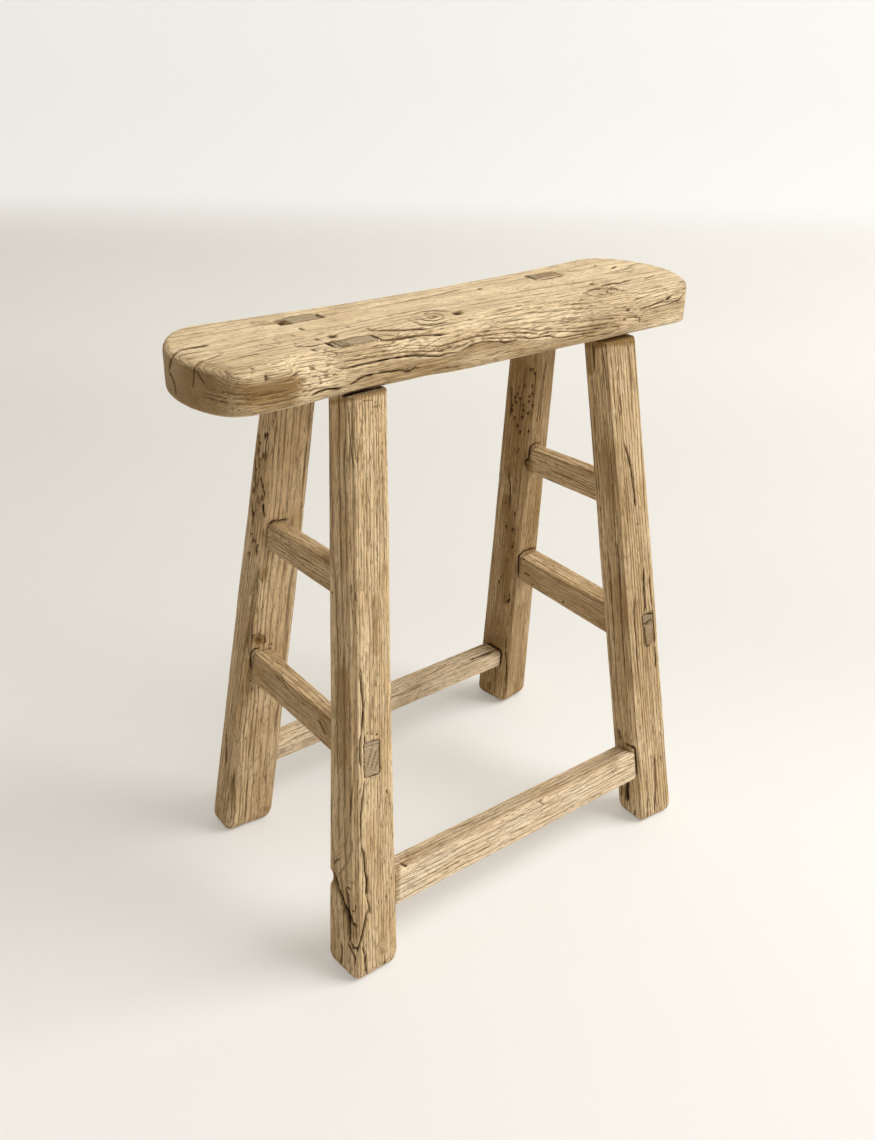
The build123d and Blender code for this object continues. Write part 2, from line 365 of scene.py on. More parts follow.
@dataclass(frozen=True)
class Split:
    """Crack along the grain on a side that the photograph doesn't show, in the piece's own mm."""

    side: Side
    across: float
    start: float
    end: float
    wide: float
    deep: float
    # How far it wanders in mm, and over what lengths
    WANDER, LENGTHS = 1.6, (500.0, 500.0, 22.0)
    # How fast both ends thin and the thinnest they get, where the soft side ends, how squarely its side
    # faces its way, and how dark it is
    ENDS, THINNEST, SOFT, SQUARE, DARK = 6.0, 0.05, 1.4, 0.7, 0.9

    def work(self, surface: Surface) -> None:
        """Cuts the crack, which wanders a little and is pointed at both ends.

        Args:
            surface: The piece's vertices, which are changed.
        """
        axis, way = self.side.value
        wander = self.WANDER * waves(surface.places, self.LENGTHS, surface.seed + int(self.start))
        gap = np.abs(surface.places[:, 1 - axis] - (self.across + wander))
        share = (surface.places[:, 2] - self.start) / (self.end - self.start)
        taper = np.sqrt(np.clip(np.minimum(share, 1.0 - share) * self.ENDS, 0.0, 1.0))
        level = np.clip(self.SOFT - gap / (self.wide * np.maximum(taper, self.THINNEST)), 0.0, 1.0)
        there = (surface.turned[:, axis] * way > self.SQUARE) & (taper > 0.0)
        level = np.where(there, level, 0.0)
        surface.carve(level * self.deep, level * self.DARK)


@dataclass(frozen=True)
class RoughStrip:
    """Strip of torn pits down a leg, strewn by chance: its pixels, its lean and the limits of the pits."""

    seed: int
    count: int
    top: float
    bottom: float
    across: float
    lean: float
    spread: Pair
    wide: Pair
    high: Pair
    deep: float
    dark: Pair

    def pits(self) -> list[Pit]:
        """Draws the pits.

        Returns:
            The pits, in the order in which they are drawn.
        """
        chance = random.Random(self.seed)
        made = []
        for _ in range(self.count):
            down = chance.uniform(self.top, self.bottom)
            across = self.across - (down - self.top) * self.lean + chance.uniform(*self.spread)
            half = (chance.uniform(*self.wide), chance.uniform(*self.high))
            made.append(Pit((across, down), half, self.deep, chance.uniform(*self.dark)))
        return made


def crack(wide: float, deep: float, dark: float, *path: float) -> Crack:
    """Crack from its points' pixels, given across and down in turn."""
    return Crack(tuple(zip(path[::2], path[1::2])), wide, deep, dark)


def wash(wide: float, dark: float, *path: float) -> Wash:
    """Brown strip from its points' pixels, given across and down in turn."""
    return Wash(tuple(zip(path[::2], path[1::2])), wide, dark)


BACK_LEFT_ROUGH = RoughStrip(
    seed=7, count=26, top=428.0, bottom=556.0, across=262.0, lean=0.075, spread=(-5.0, 6.0),
    wide=(0.9, 1.5), high=(1.6, 4.5), deep=1.3, dark=(0.5, 0.95),
)
BACK_RIGHT_ROUGH = RoughStrip(
    seed=5, count=22, top=372.0, bottom=600.0, across=523.0, lean=0.085, spread=(-7.0, 7.0),
    wide=(0.9, 1.3), high=(1.2, 3.2), deep=1.1, dark=(0.5, 0.9),
)

# Painted shade: a dark line with no depth in the gap under the seat, over the front left leg
PAINTED_GAP_SHADE = (
    crack(1.9, 0.0, 1.0, 339, 397.4, 347, 394.8, 359, 391.3, 372, 388, 385, 385.4),
)

# Dark outlines of three tenons and their wedges, on top of the seat
SEAT_TENONS = (
    crack(0.6, 0.5, 0.6, 285, 318.3, 293, 316, 301, 314.2, 314, 313),
    crack(0.9, 0.9, 1.0, 314, 313, 319.5, 316.5, 325, 317.5),
    crack(0.6, 0.5, 0.6, 288, 323.5, 304, 320.5, 320, 317.6),
    crack(0.6, 0.5, 0.6, 331, 341.8, 342, 340.6, 353, 337.4, 369, 334.4),
    crack(0.9, 1.0, 1.0, 369, 334.4, 374, 336.2, 379, 338.8),
    crack(0.6, 0.5, 0.6, 338, 346.4, 353, 343.7, 369, 341, 377, 339),
    crack(1.7, 1.5, 1.0, 326.5, 341.8, 331, 343, 335, 345.3),
    crack(0.9, 0.9, 0.95, 527, 275.6, 532, 278, 538, 280),
    crack(0.7, 0.6, 0.8, 538, 280, 550, 278, 562, 275.4, 565, 273.6),
)

# Dark outlines of the through tenon and the wedge on the front right leg
RAIL_TENON = (
    crack(0.8, 0.9, 1.0, 645.7, 614.5, 652.6, 613.5),
    crack(0.9, 1.0, 1.0, 643.6, 624, 647, 622.8, 649, 620.5, 652, 619.4),
    crack(0.8, 1.0, 1.0, 644.3, 625.6, 644.9, 634, 646.2, 641.3, 647.1, 646.8),
    crack(0.8, 1.0, 0.9, 652.8, 615, 653.4, 626, 654.3, 639.4, 654.8, 645),
    crack(0.9, 1.0, 1.0, 646.5, 646.8, 651, 645.6),
)

# Torn grain across the front right tenon, its wedge and the seat round them
TORN = (
    crack(1.0, 1.4, 0.95, 583, 294, 589, 290, 595, 288, 600, 288.5, 607, 287.5, 615, 288.5, 619, 290),
    crack(0.7, 0.8, 0.7, 596, 293, 604, 294, 611, 292), Pit((607, 291), (1.6, 1.1), 1.2),
    Pit((612, 293), (1.8, 1.1), 1.2), Pit((602, 285.5), (1.4, 1.0), 1.0), Stain((600, 289), (22, 6), 0.42),
)

# Seat
SEAT_MARKS = (
    # The worn front shoulder
    crack(0.8, 1.1, 0.8, 331, 364.5, 345, 362, 355, 360, 370, 357, 385, 354, 400, 352, 415, 350.5, 442, 350,
        450, 346.5, 465, 345.5),
    crack(1.2, 1.8, 1.0, 337, 368.5, 348, 368, 360, 364.5, 372, 362, 388, 358.5, 400, 356.5, 415, 354.5,
        440, 355, 450, 352, 460, 352),
    crack(1.0, 1.6, 1.0, 460, 352, 470, 345, 480, 341.5, 490, 340.5, 500, 341, 505, 343, 510, 342,
        520, 339.5),
    crack(0.8, 0.9, 0.65, 337, 355, 355, 350.5, 373, 347, 404, 344, 425, 345, 442, 345.4, 454, 341.5,
        470, 337.5, 489, 333.7, 520, 330),
    crack(0.9, 1.3, 0.85, 480, 340, 490, 337.5, 510, 337, 525, 336, 530, 338, 550, 335, 560, 338, 575, 335,
        600, 331.5),
    crack(0.9, 1.3, 0.85, 460, 340, 475, 335, 490, 334, 510, 331.5, 530, 332, 540, 334, 550, 331, 580, 331,
        600, 328, 630, 325),
    crack(0.8, 1.1, 0.75, 470, 333, 490, 330, 505, 328, 520, 327, 530, 329, 540, 330, 550, 328, 570, 328.5,
        600, 325, 625, 322),
    crack(0.7, 0.9, 0.6, 520, 322, 540, 322, 556, 320, 570, 322, 600, 319, 625, 317.5),
    crack(0.7, 0.9, 0.6, 555, 317, 570, 319, 590, 317, 620, 315, 640, 316),
    crack(0.6, 0.6, 0.45, 505, 314, 530, 312, 560, 309.5, 590, 308, 610, 307.5, 640, 308.5, 650, 306),
    crack(0.6, 0.6, 0.5, 297, 359, 300, 357, 312, 353.5, 330, 350.5, 345, 348.5, 356, 346),
    crack(0.6, 0.7, 0.45, 300, 364, 316, 360, 334, 357, 352, 353.5, 372, 350.5, 392, 348),
    crack(0.7, 0.9, 0.6, 344, 375.5, 352, 372, 366, 368.5, 380, 364.5, 396, 361),
    crack(0.7, 0.6, 0.4, 419, 342, 423, 345), crack(0.7, 0.9, 0.6, 563, 341, 580, 338, 600, 335.5, 622, 330),
    crack(1.2, 1.8, 1.0, 349, 384.5, 354, 383.5, 360, 379, 366, 376.5, 375, 374.5),
    crack(1.1, 1.5, 1.0, 375, 374.5, 385, 372.5, 395, 371.5, 402, 370, 406, 372, 411, 371, 416, 367,
        421, 370), crack(1.4, 2.0, 1.0, 311, 396.5, 320, 392, 328, 389.5, 340, 389, 343, 387),
    crack(0.7, 0.8, 0.6, 430, 372, 446, 369, 462, 366.5),
    crack(0.7, 0.7, 0.45, 500, 354, 524, 350, 548, 346.5),
    crack(0.6, 0.7, 0.6, 325, 355.5, 341, 351.5, 357, 348.2, 381, 344, 400, 342),
    crack(0.7, 0.8, 0.6, 345, 357, 366, 353.5, 395, 348.8, 418, 347, 442, 348.4, 460, 345),
    # The net of fine cracks by the front left leg
    crack(1.0, 1.2, 1.0, 292, 377, 296, 374, 301, 370.5),
    crack(0.7, 0.8, 0.75, 311, 362, 313, 367, 316, 370, 318, 374), crack(0.7, 0.8, 0.75, 325, 370, 328, 378),
    crack(0.7, 0.8, 0.75, 335, 373, 333, 376),
    crack(0.8, 1.0, 0.85, 299, 392, 305, 391, 311, 391.5, 315, 388, 318, 385, 322, 383, 321, 379),
    crack(0.8, 1.0, 0.85, 297, 387, 299, 391), crack(0.7, 0.8, 0.7, 285, 395, 293, 393, 300, 390),
    crack(0.7, 0.8, 0.7, 290, 399, 300, 396, 311, 396), crack(0.6, 0.7, 0.55, 301, 371, 304, 379, 302, 386),
    crack(0.8, 0.7, 0.5, 310, 364, 311, 370, 309, 376, 311, 381),
    crack(0.8, 0.7, 0.5, 318, 366, 321, 372, 320, 378, 323, 383),
    crack(0.8, 0.7, 0.5, 322, 369, 326, 374, 326, 381, 331, 386),
    crack(0.8, 0.7, 0.5, 300, 377, 305, 381, 309, 384, 312, 389),
    crack(0.8, 0.7, 0.5, 292, 384, 298, 383, 305, 385, 311, 385.5),
    crack(0.8, 0.7, 0.5, 328, 368, 327, 374, 331, 379, 335, 382),
    # The flat top
    crack(1.2, 1.7, 1.0, 366, 326.5, 370, 329, 374, 330, 383, 329.5, 400, 329.5, 410, 328.5, 430, 328),
    crack(1.2, 2.0, 1.0, 368, 334, 373, 336.5, 378, 339, 390, 338.5, 400, 337.5, 410, 336, 420, 334.5,
        430, 334, 452, 332.8), crack(0.7, 0.8, 0.6, 378, 334, 395, 335, 405, 335),
    crack(1.3, 1.2, 1.0, 315, 337.5, 320, 340),
    crack(0.9, 1.1, 0.9, 292, 342, 299, 346, 310, 345.5, 321, 343.3),
    crack(1.1, 1.0, 0.95, 299, 327, 304.5, 330), crack(0.7, 0.7, 0.7, 290, 334, 295, 336),
    crack(1.0, 0.9, 0.9, 312, 348.5, 318, 350.5),
    crack(0.7, 0.9, 0.8, 327, 341, 340, 340, 350, 337, 368, 334.5),
    crack(1.0, 1.4, 1.0, 324, 341.5, 331, 345.5, 338, 347),
    crack(0.7, 0.9, 0.85, 338, 347, 352, 345, 372, 341, 380, 339.5),
    crack(0.8, 0.8, 0.85, 411, 314.5, 408, 319, 412, 321, 420, 323.5, 432, 324.5, 448, 321),
    crack(0.7, 0.7, 0.75, 411, 314.5, 420, 311, 434, 309.5, 450, 311),
    crack(0.7, 0.7, 0.8, 418, 317, 424, 319.5, 434, 320.5, 444, 317.5, 442, 314, 434, 312.5, 424, 313.5,
        418, 317), crack(0.7, 0.7, 0.75, 426, 316.5, 432, 315, 437, 316, 432, 317.8, 426, 316.5),
    crack(0.6, 0.6, 0.5, 560, 305, 590, 303, 610, 299.5), crack(0.8, 0.8, 0.8, 515, 305.5, 522, 305),
    crack(0.9, 1.1, 0.95, 601, 285, 607, 284, 612, 283, 620, 282.5, 624, 281, 632, 279),
    crack(0.7, 0.8, 0.7, 643, 279, 650, 276, 655, 274.5), crack(0.9, 0.9, 0.9, 610, 269, 614, 267, 617, 265),
    crack(0.9, 1.1, 0.9, 640, 309, 650, 306, 660, 302, 667, 298.5),
    crack(1.5, 1.5, 1.0, 666.5, 299.5, 671, 296),
    crack(0.9, 1.1, 0.85, 650, 309, 660, 306.5, 670, 303.5, 680, 299, 683, 295, 685, 291),
    crack(0.8, 0.9, 0.7, 625, 317.5, 640, 317, 640.5, 325),
    # The left end and the front below the shoulder
    crack(1.1, 1.3, 0.95, 209, 344.5, 190, 347, 180, 349, 175, 352, 171.5, 355.5),
    crack(1.4, 2.2, 1.0, 175, 352, 171, 356, 169.5, 360, 168.5, 366, 168, 370.5),
    crack(0.9, 1.3, 0.95, 168, 370.5, 169.5, 374, 172, 379, 174, 386, 175.5, 396),
    crack(0.7, 1.0, 0.9, 224, 353, 215, 356, 208, 358.5, 201, 361, 196, 364.5, 193.5, 368),
    crack(0.9, 1.2, 0.9, 193.5, 367, 193, 378, 192, 388),
    crack(0.7, 0.8, 0.75, 196, 370, 200, 378, 204, 384, 208, 388), crack(0.9, 0.9, 0.85, 184, 355, 187, 356),
    crack(0.8, 0.8, 0.75, 227, 369, 227, 377), crack(1.1, 1.2, 1.0, 252.5, 366, 252.5, 373),
    crack(1.4, 1.6, 1.0, 267, 373, 266, 379, 270, 382), crack(0.6, 0.6, 0.55, 275, 366, 283, 372),
    crack(0.6, 0.5, 0.45, 258, 341, 266, 348), crack(0.6, 0.5, 0.45, 272, 338, 279, 340, 281, 347),
    crack(0.8, 0.8, 0.7, 200, 396, 230, 404, 262, 405, 296, 399),
    crack(0.8, 0.8, 0.65, 196, 391, 228, 399, 262, 400, 292, 395),
    crack(0.8, 0.8, 0.6, 210, 389, 234, 394.5, 262, 395.5, 290, 390),
    # Wormholes and chips
    Pit((457, 312), (6.0, 2.4), 2.8, 1.0), Pit((332, 335.5), (5.5, 1.9), 1.6, 1.0),
    Pit((412, 316), (1.2, 0.9), 1.0, 0.8), Pit((431, 315), (1.4, 0.9), 1.0, 0.8),
    Pit((470, 318.5), (1.4, 0.9), 1.0, 0.8), Pit((591.5, 283), (3.2, 1.6), 2.0),
    Pit((595, 265.5), (1.6, 1.2), 1.2), Pit((637.5, 298.6), (1.4, 0.9), 0.8),
    Pit((629, 310.3), (2.4, 1.4), 1.6), Pit((625.5, 319), (1.9, 1.4), 1.5),
    Pit((479.5, 288.5), (3.0, 1.3), 1.2), Pit((585, 335), (1.4, 1.1), 1.0), Pit((207, 363), (1.0, 0.9), 0.8),
    Pit((408, 369), (2.6, 1.4), 0.7, 0.7), Pit((448, 368), (1.4, 1.0), 0.8, 0.8),
    Pit((457, 340), (1.2, 0.9), 0.9, 0.8), Pit((459, 345), (1.2, 0.9), 0.9, 0.8),
    # Stains, and painted shade along the left end's rounded top edge and in the gap over the front left leg
    wash(3.5, 0.6, 252, 323, 262, 323, 275, 322.5), wash(15.0, 0.95, 252, 396, 275, 392, 293, 384),
    wash(15.0, 0.7, 186, 374, 214, 386, 250, 392), Stain((180, 360), (14, 14), 0.25),
    # The long wash here is painted shade along the rounded top edge of the left end
    Stain((604, 282), (10, 3), 0.3), wash(8.0, 0.5, 176, 356, 197, 365, 235, 371, 275, 372, 292, 370),
    wash(9.0, 0.42, 645, 318, 664, 311, 680, 304), wash(3.0, 0.35, 350, 338, 372, 340, 400, 338, 440, 334),
    Stain((332, 337), (9, 4), 0.4),
    *TORN, *PAINTED_GAP_SHADE, *SEAT_TENONS,
)

# Front left leg
FRONT_LEFT_MARKS = (
    # Painted shade: the dark gap line, and the wash on the leg's top where the seat's shadow falls
    *PAINTED_GAP_SHADE, *SEAT_TENONS, wash(4.0, 0.8, 331, 402, 350, 399, 370, 394, 388, 390),
    crack(0.6, 0.6, 0.55, 347, 832, 346, 842, 342, 851, 335, 858, 331, 862),
    crack(0.6, 0.6, 0.5, 343.5, 836, 342, 844, 338, 850, 333, 855),
    crack(0.6, 0.7, 0.6, 352, 838, 351, 850, 347, 862, 341, 871, 337, 876),
    crack(0.6, 0.6, 0.45, 346, 880, 352, 884, 357, 880, 359, 868),
    crack(0.6, 0.7, 0.6, 350, 406, 352, 430, 355, 450, 357, 464, 359, 450, 361, 430, 363, 414),
    crack(0.6, 0.7, 0.6, 347, 404, 348, 425, 350, 445, 353, 464, 356, 472),
    crack(0.6, 0.6, 0.55, 359, 405, 364, 401, 371, 400, 378, 403, 382, 410),
    crack(0.6, 0.6, 0.55, 362, 412, 366, 418, 371, 419, 376, 424),
    crack(0.6, 0.8, 0.6, 372, 440, 375, 470, 376, 500, 378, 540),
    crack(0.6, 0.8, 0.6, 381, 440, 383, 480, 384, 530, 385, 580),
    crack(0.6, 0.7, 0.5, 366, 470, 367, 510, 369, 560),
    crack(0.8, 1.0, 0.9, 366, 773.5, 372, 775, 379, 772, 381.5, 767),
    wash(6.0, 0.6, 374, 598, 375, 625, 375, 652),
    crack(0.9, 1.4, 0.9, 365.3, 780, 362.7, 802, 361, 819, 361, 835, 360.7, 846.6),
    crack(1.2, 2.0, 0.9, 360.7, 846, 364.4, 853.5, 365.3, 865.4, 366, 877),
    crack(1.4, 3.2, 1.0, 366, 872, 367.8, 880.8, 367.5, 892.7, 366.6, 897),
    crack(0.9, 1.2, 0.9, 366.6, 896, 369.5, 904.7, 370.4, 915),
    crack(1.2, 1.8, 0.9, 367.8, 909.8, 365.3, 925, 362, 939, 357.6, 950.8, 352.5, 948.3, 350, 940.6),
    crack(2.4, 4.0, 1.0, 331.5, 872, 334, 880, 337, 888),
    Pit((329.5, 876), (3.4, 7.0), 2.3, 0.5, around=-0.7),
    crack(1.9, 3.4, 1.0, 335.4, 884, 338.8, 892.7, 343, 904.7, 346.5, 915, 348.2, 927, 349, 942),
    crack(1.4, 2.2, 0.9, 344.8, 889, 346.5, 896, 347.3, 904.7, 348.2, 913, 352.5, 925, 359.3, 928.6),
    crack(0.8, 0.9, 0.9, 343.9, 889.3, 347.3, 887.6, 350, 890),
    crack(0.8, 0.9, 0.9, 355, 905.6, 355, 911.5, 350, 912.4),
    crack(1.2, 1.8, 0.9, 346.5, 943, 350.7, 950.8, 354.2, 959.4, 354.5, 966),
    crack(1.0, 1.4, 0.9, 340.5, 942, 341.4, 952.5, 339.6, 968),
    crack(1.1, 1.6, 0.9, 362.7, 947.4, 366, 956, 366, 966, 367.8, 976),
    crack(0.9, 1.2, 0.9, 385, 961, 384, 970), crack(0.7, 0.8, 0.9, 351.6, 785, 350.7, 805.6, 350, 817.6),
    crack(0.9, 1.0, 0.9, 332.8, 864.6, 336, 860.5, 340.5, 857.7),
    crack(1.0, 1.5, 0.9, 360, 666, 361, 681, 361.8, 688, 363.6, 706.7, 362.7, 725, 361.8, 734),
    crack(1.0, 1.5, 0.9, 361.8, 734, 360, 743.3, 360, 761.7, 361, 767),
    crack(0.7, 0.7, 0.9, 355.5, 592, 356.3, 602), crack(0.6, 0.5, 0.55, 371.8, 407.5, 378, 406.3, 387, 403.8),
    crack(0.6, 0.5, 0.35, 375.5, 402.5, 377.8, 410, 375.5, 416, 371, 425),
    crack(0.6, 0.6, 0.55, 373.3, 428, 377.8, 428.8, 381.5, 431.8, 380, 426.5),
    Pit((386.6, 897), (1.0, 1.4), 1.4), Pit((391.7, 879), (1.0, 1.4), 1.4), Pit((387, 792), (0.9, 3.0), 0.9),
    Pit((332, 576), (1.0, 1.2), 1.2), Pit((332, 592), (1.0, 1.4), 1.4),
    wash(10.0, 0.6, 341, 672, 342, 715, 341, 762), Stain((385, 925), (7, 18), 0.30),
    wash(6.0, 0.4, 335, 872, 345, 900, 350, 940), wash(3.0, 0.35, 352, 600, 354, 660),
    crack(0.8, 1.2, 0.9, 365, 734, 365, 773), crack(0.7, 0.9, 0.85, 366, 733.5, 381, 735),
    crack(0.6, 0.7, 0.75, 366, 746, 381, 747), crack(0.6, 0.6, 0.5, 348, 470, 349, 447, 352, 425, 358, 412),
    crack(0.6, 0.6, 0.5, 362, 470, 361, 447, 362, 430, 366, 420),
)

# Back left leg
BACK_LEFT_MARKS = (
    *BACK_LEFT_ROUGH.pits(), *SEAT_TENONS,
    crack(0.8, 1.1, 0.9, 268.7, 431, 266, 440.5, 265, 451, 264, 465, 263, 470.5),
    crack(0.7, 0.8, 0.7, 275, 426, 275, 444), crack(0.8, 1.0, 0.85, 260, 476, 262, 487, 265, 499),
    crack(1.3, 1.6, 0.95, 262, 504, 262.5, 511, 265, 518),
    crack(0.8, 1.2, 0.75, 253, 445, 254.5, 470, 254, 495),
    crack(0.7, 0.9, 0.65, 258, 440, 258.5, 462, 257.5, 480), crack(0.9, 1.2, 0.8, 251, 500, 252, 528),
    # Dark joint line where the upper end rail meets the leg: partly a real gap, partly painted shade
    crack(1.2, 1.8, 1.0, 268.7, 550, 268.7, 534, 271, 523, 276.6, 520.6, 288, 519.7),
    crack(0.7, 0.8, 0.8, 266, 645, 273, 644), crack(1.1, 1.7, 1.0, 252, 671, 251, 654.5, 255, 650, 261, 648),
    crack(0.6, 0.6, 0.5, 242.6, 673, 242.6, 701, 240, 720), crack(0.8, 1.2, 0.9, 225.7, 731.6, 225.3, 765.4),
    crack(0.7, 0.9, 0.6, 234, 770, 232, 800, 231, 822), crack(0.7, 0.9, 0.6, 247, 780, 246, 806, 244, 824),
    crack(0.6, 0.7, 0.5, 259, 590, 257, 615, 254, 640), Pit((251, 534), (1.4, 1.6), 1.4),
    Pit((254.6, 541), (1.4, 1.6), 1.4), Pit((257, 546), (1.3, 1.4), 1.2), Pit((256.4, 553), (1.3, 1.4), 1.2),
    Pit((251, 681), (1.2, 1.3), 1.2), Pit((258.6, 687.4), (1.2, 1.3), 1.2), Pit((252, 690), (1.2, 1.3), 1.2),
    Pit((254, 461), (1.2, 2.2), 1.2, 0.8), Pit((257, 498), (1.2, 2.2), 1.2, 0.8),
    Pit((253, 514), (1.4, 2.4), 1.4, 0.8), Stain((264, 574), (9, 10), 0.7),
    crack(0.8, 0.8, 0.6, 258, 566, 259, 578, 264, 583, 270, 581), Pit((258.5, 640.5), (3.6, 3.0), 1.0, 0.62),
    crack(0.8, 1.0, 0.85, 251, 643, 252.5, 637, 258, 634, 264, 636.5, 266, 642, 262, 646),
    Stain((259, 640), (8, 7), 1.2), crack(0.6, 0.6, 0.5, 246, 630, 247, 645, 250, 662, 248, 680),
    wash(6.0, 0.6, 250, 662, 249, 690), Stain((258, 819), (4, 5), 0.6), Stain((267, 809), (4, 5), 0.6),
    wash(5.0, 0.42, 256, 432, 255, 490, 253, 555),
)

# Front right leg
FRONT_RIGHT_MARKS = (
    # The first wash is painted shade: a dark band on the leg's top in the gap under the seat
    *TORN, *RAIL_TENON, wash(9.0, 1.1, 584, 344, 612, 340, 634, 338), wash(5.0, 0.8, 588, 346, 590, 372),
    crack(0.8, 0.9, 0.8, 592, 341, 592.5, 356, 594, 372), crack(0.7, 0.9, 0.7, 601, 346, 605, 372, 607, 395),
    crack(0.7, 0.9, 0.75, 627, 341, 629, 351, 631, 368, 632, 392),
    crack(0.6, 0.8, 0.6, 610, 350, 613, 372, 615, 400, 618, 430),
    crack(0.8, 1.0, 0.8, 594, 345, 593.4, 354, 594.3, 363),
    crack(0.6, 0.7, 0.55, 611, 433, 610, 459, 612, 486, 614.6, 532, 616.4, 560, 620, 600),
    crack(0.7, 0.8, 0.6, 602.6, 411, 606, 448),
    crack(1.0, 1.5, 0.95, 623.8, 442, 628.4, 455, 632, 470, 633, 483, 634.8, 492, 636, 510),
    crack(0.7, 0.8, 0.65, 618, 365, 618, 391, 622, 409, 620, 420),
    crack(0.8, 1.1, 0.8, 655, 752, 656, 787, 655, 814), crack(1.0, 1.4, 0.9, 633.7, 810, 634.8, 819),
    crack(0.9, 1.1, 0.9, 618, 729, 620, 740), crack(1.2, 1.8, 1.0, 622.5, 743, 635, 749, 637, 776),
    crack(0.8, 1.0, 0.8, 649.5, 575, 650.3, 588.6, 651.5, 599, 652, 605),
    crack(0.8, 1.1, 0.8, 635.5, 595, 634.6, 611.7, 635, 624.6, 636.5, 636.6, 637.5, 657, 638, 666,
        639.2, 679), crack(0.6, 0.8, 0.55, 648, 660, 652, 700, 655, 745),
    crack(0.9, 1.3, 0.95, 644, 566, 644.3, 585, 645, 600.6, 645.4, 608, 644, 615.4),
    crack(0.9, 1.3, 0.95, 654.5, 645, 655.9, 652.3, 656.3, 661.6, 655.4, 668),
    Pit((638, 524), (1.0, 1.4), 1.2, 0.8), Pit((611, 800), (1.2, 3.0), 1.2, 0.7),
    crack(2.2, 1.8, 0.95, 627, 779, 626, 790, 627, 802), crack(1.2, 1.2, 0.7, 621, 782, 621, 797),
    crack(0.7, 0.9, 0.6, 646, 770, 648, 800, 647, 830), crack(0.7, 0.9, 0.6, 615, 760, 617, 800, 618, 824),
    crack(0.8, 1.1, 0.75, 617, 540, 618.7, 573, 620, 597, 620.8, 615, 622.6, 643, 625, 680),
    crack(0.7, 0.9, 0.6, 592, 400, 597, 470, 602, 540), Stain((628, 791), (9, 11), 0.55),
    Stain((650, 640), (8, 22), 0.3), wash(23.0, 0.55, 614, 455, 624, 540, 634, 620, 642, 680),
    crack(0.7, 0.9, 0.65, 609, 560, 610.5, 590, 612, 615, 615.7, 671), Stain((616, 350), (16, 10), 0.28),
)

# Wormholes of the back right leg
WORMHOLES = (
    (530, 370), (532.6, 370), (535.5, 374.6), (524, 386), (516.8, 394.4), (519, 399), (528.3, 402),
    (533, 406), (514.6, 397.6), (511, 410.6), (515.3, 402.6), (522.5, 405), (522.5, 410.6), (521, 418),
    (527.6, 414), (514, 418), (511, 406), (532.6, 387.5), (532.6, 394.7), (529, 397), (517, 426),
    (519.6, 432), (528.5, 433), (512.4, 530), (511.7, 547), (508.7, 600), (507, 602),
)

# Back right leg
BACK_RIGHT_MARKS = (
    *BACK_RIGHT_ROUGH.pits(), *SEAT_TENONS, *(Pit(spot, (1.5, 1.8), 1.8, 1.0) for spot in WORMHOLES),
    crack(1.2, 1.5, 0.8, 511, 386, 510.5, 400, 509.6, 418),
    crack(0.6, 0.7, 0.6, 537, 364.5, 534, 400.5, 532, 426),
    crack(0.6, 0.7, 0.6, 545.6, 374.6, 542.7, 397.6, 539.8, 420.6, 537, 439),
    crack(1.1, 1.7, 1.0, 541, 443, 535.5, 443.7, 530.4, 448, 529.7, 459.5, 525.4, 463, 528.3, 469.6),
    crack(0.9, 1.3, 0.9, 509, 468, 508, 478, 509.6, 484, 509, 513),
    crack(0.8, 1.2, 0.9, 506.5, 632.5, 505, 653, 507, 668, 506, 696),
    crack(0.8, 1.0, 0.75, 495, 660, 494, 696),
    crack(1.1, 1.7, 1.0, 519, 576, 519, 557, 524, 552, 533, 549, 537, 548),
    crack(1.1, 1.7, 1.0, 483.6, 643, 487, 644, 499, 650, 500.6, 654, 499, 668.7),
    Stain((526, 358), (5, 7), 0.6), wash(13.0, 0.95, 523, 366, 519, 395, 515, 420, 511, 470),
    crack(0.7, 0.9, 0.7, 527, 362, 521, 398, 517, 430),
    crack(0.7, 0.9, 0.7, 548, 356, 545, 372, 541, 396, 536, 430), wash(8.0, 0.85, 517, 470, 516, 500),
    wash(11.0, 0.9, 509, 500, 510, 527, 508, 558, 502, 600), wash(8.0, 0.85, 493, 655, 491, 698),
    Pit((489, 686), (2.5, 6.0), 0.8, 0.55),
)

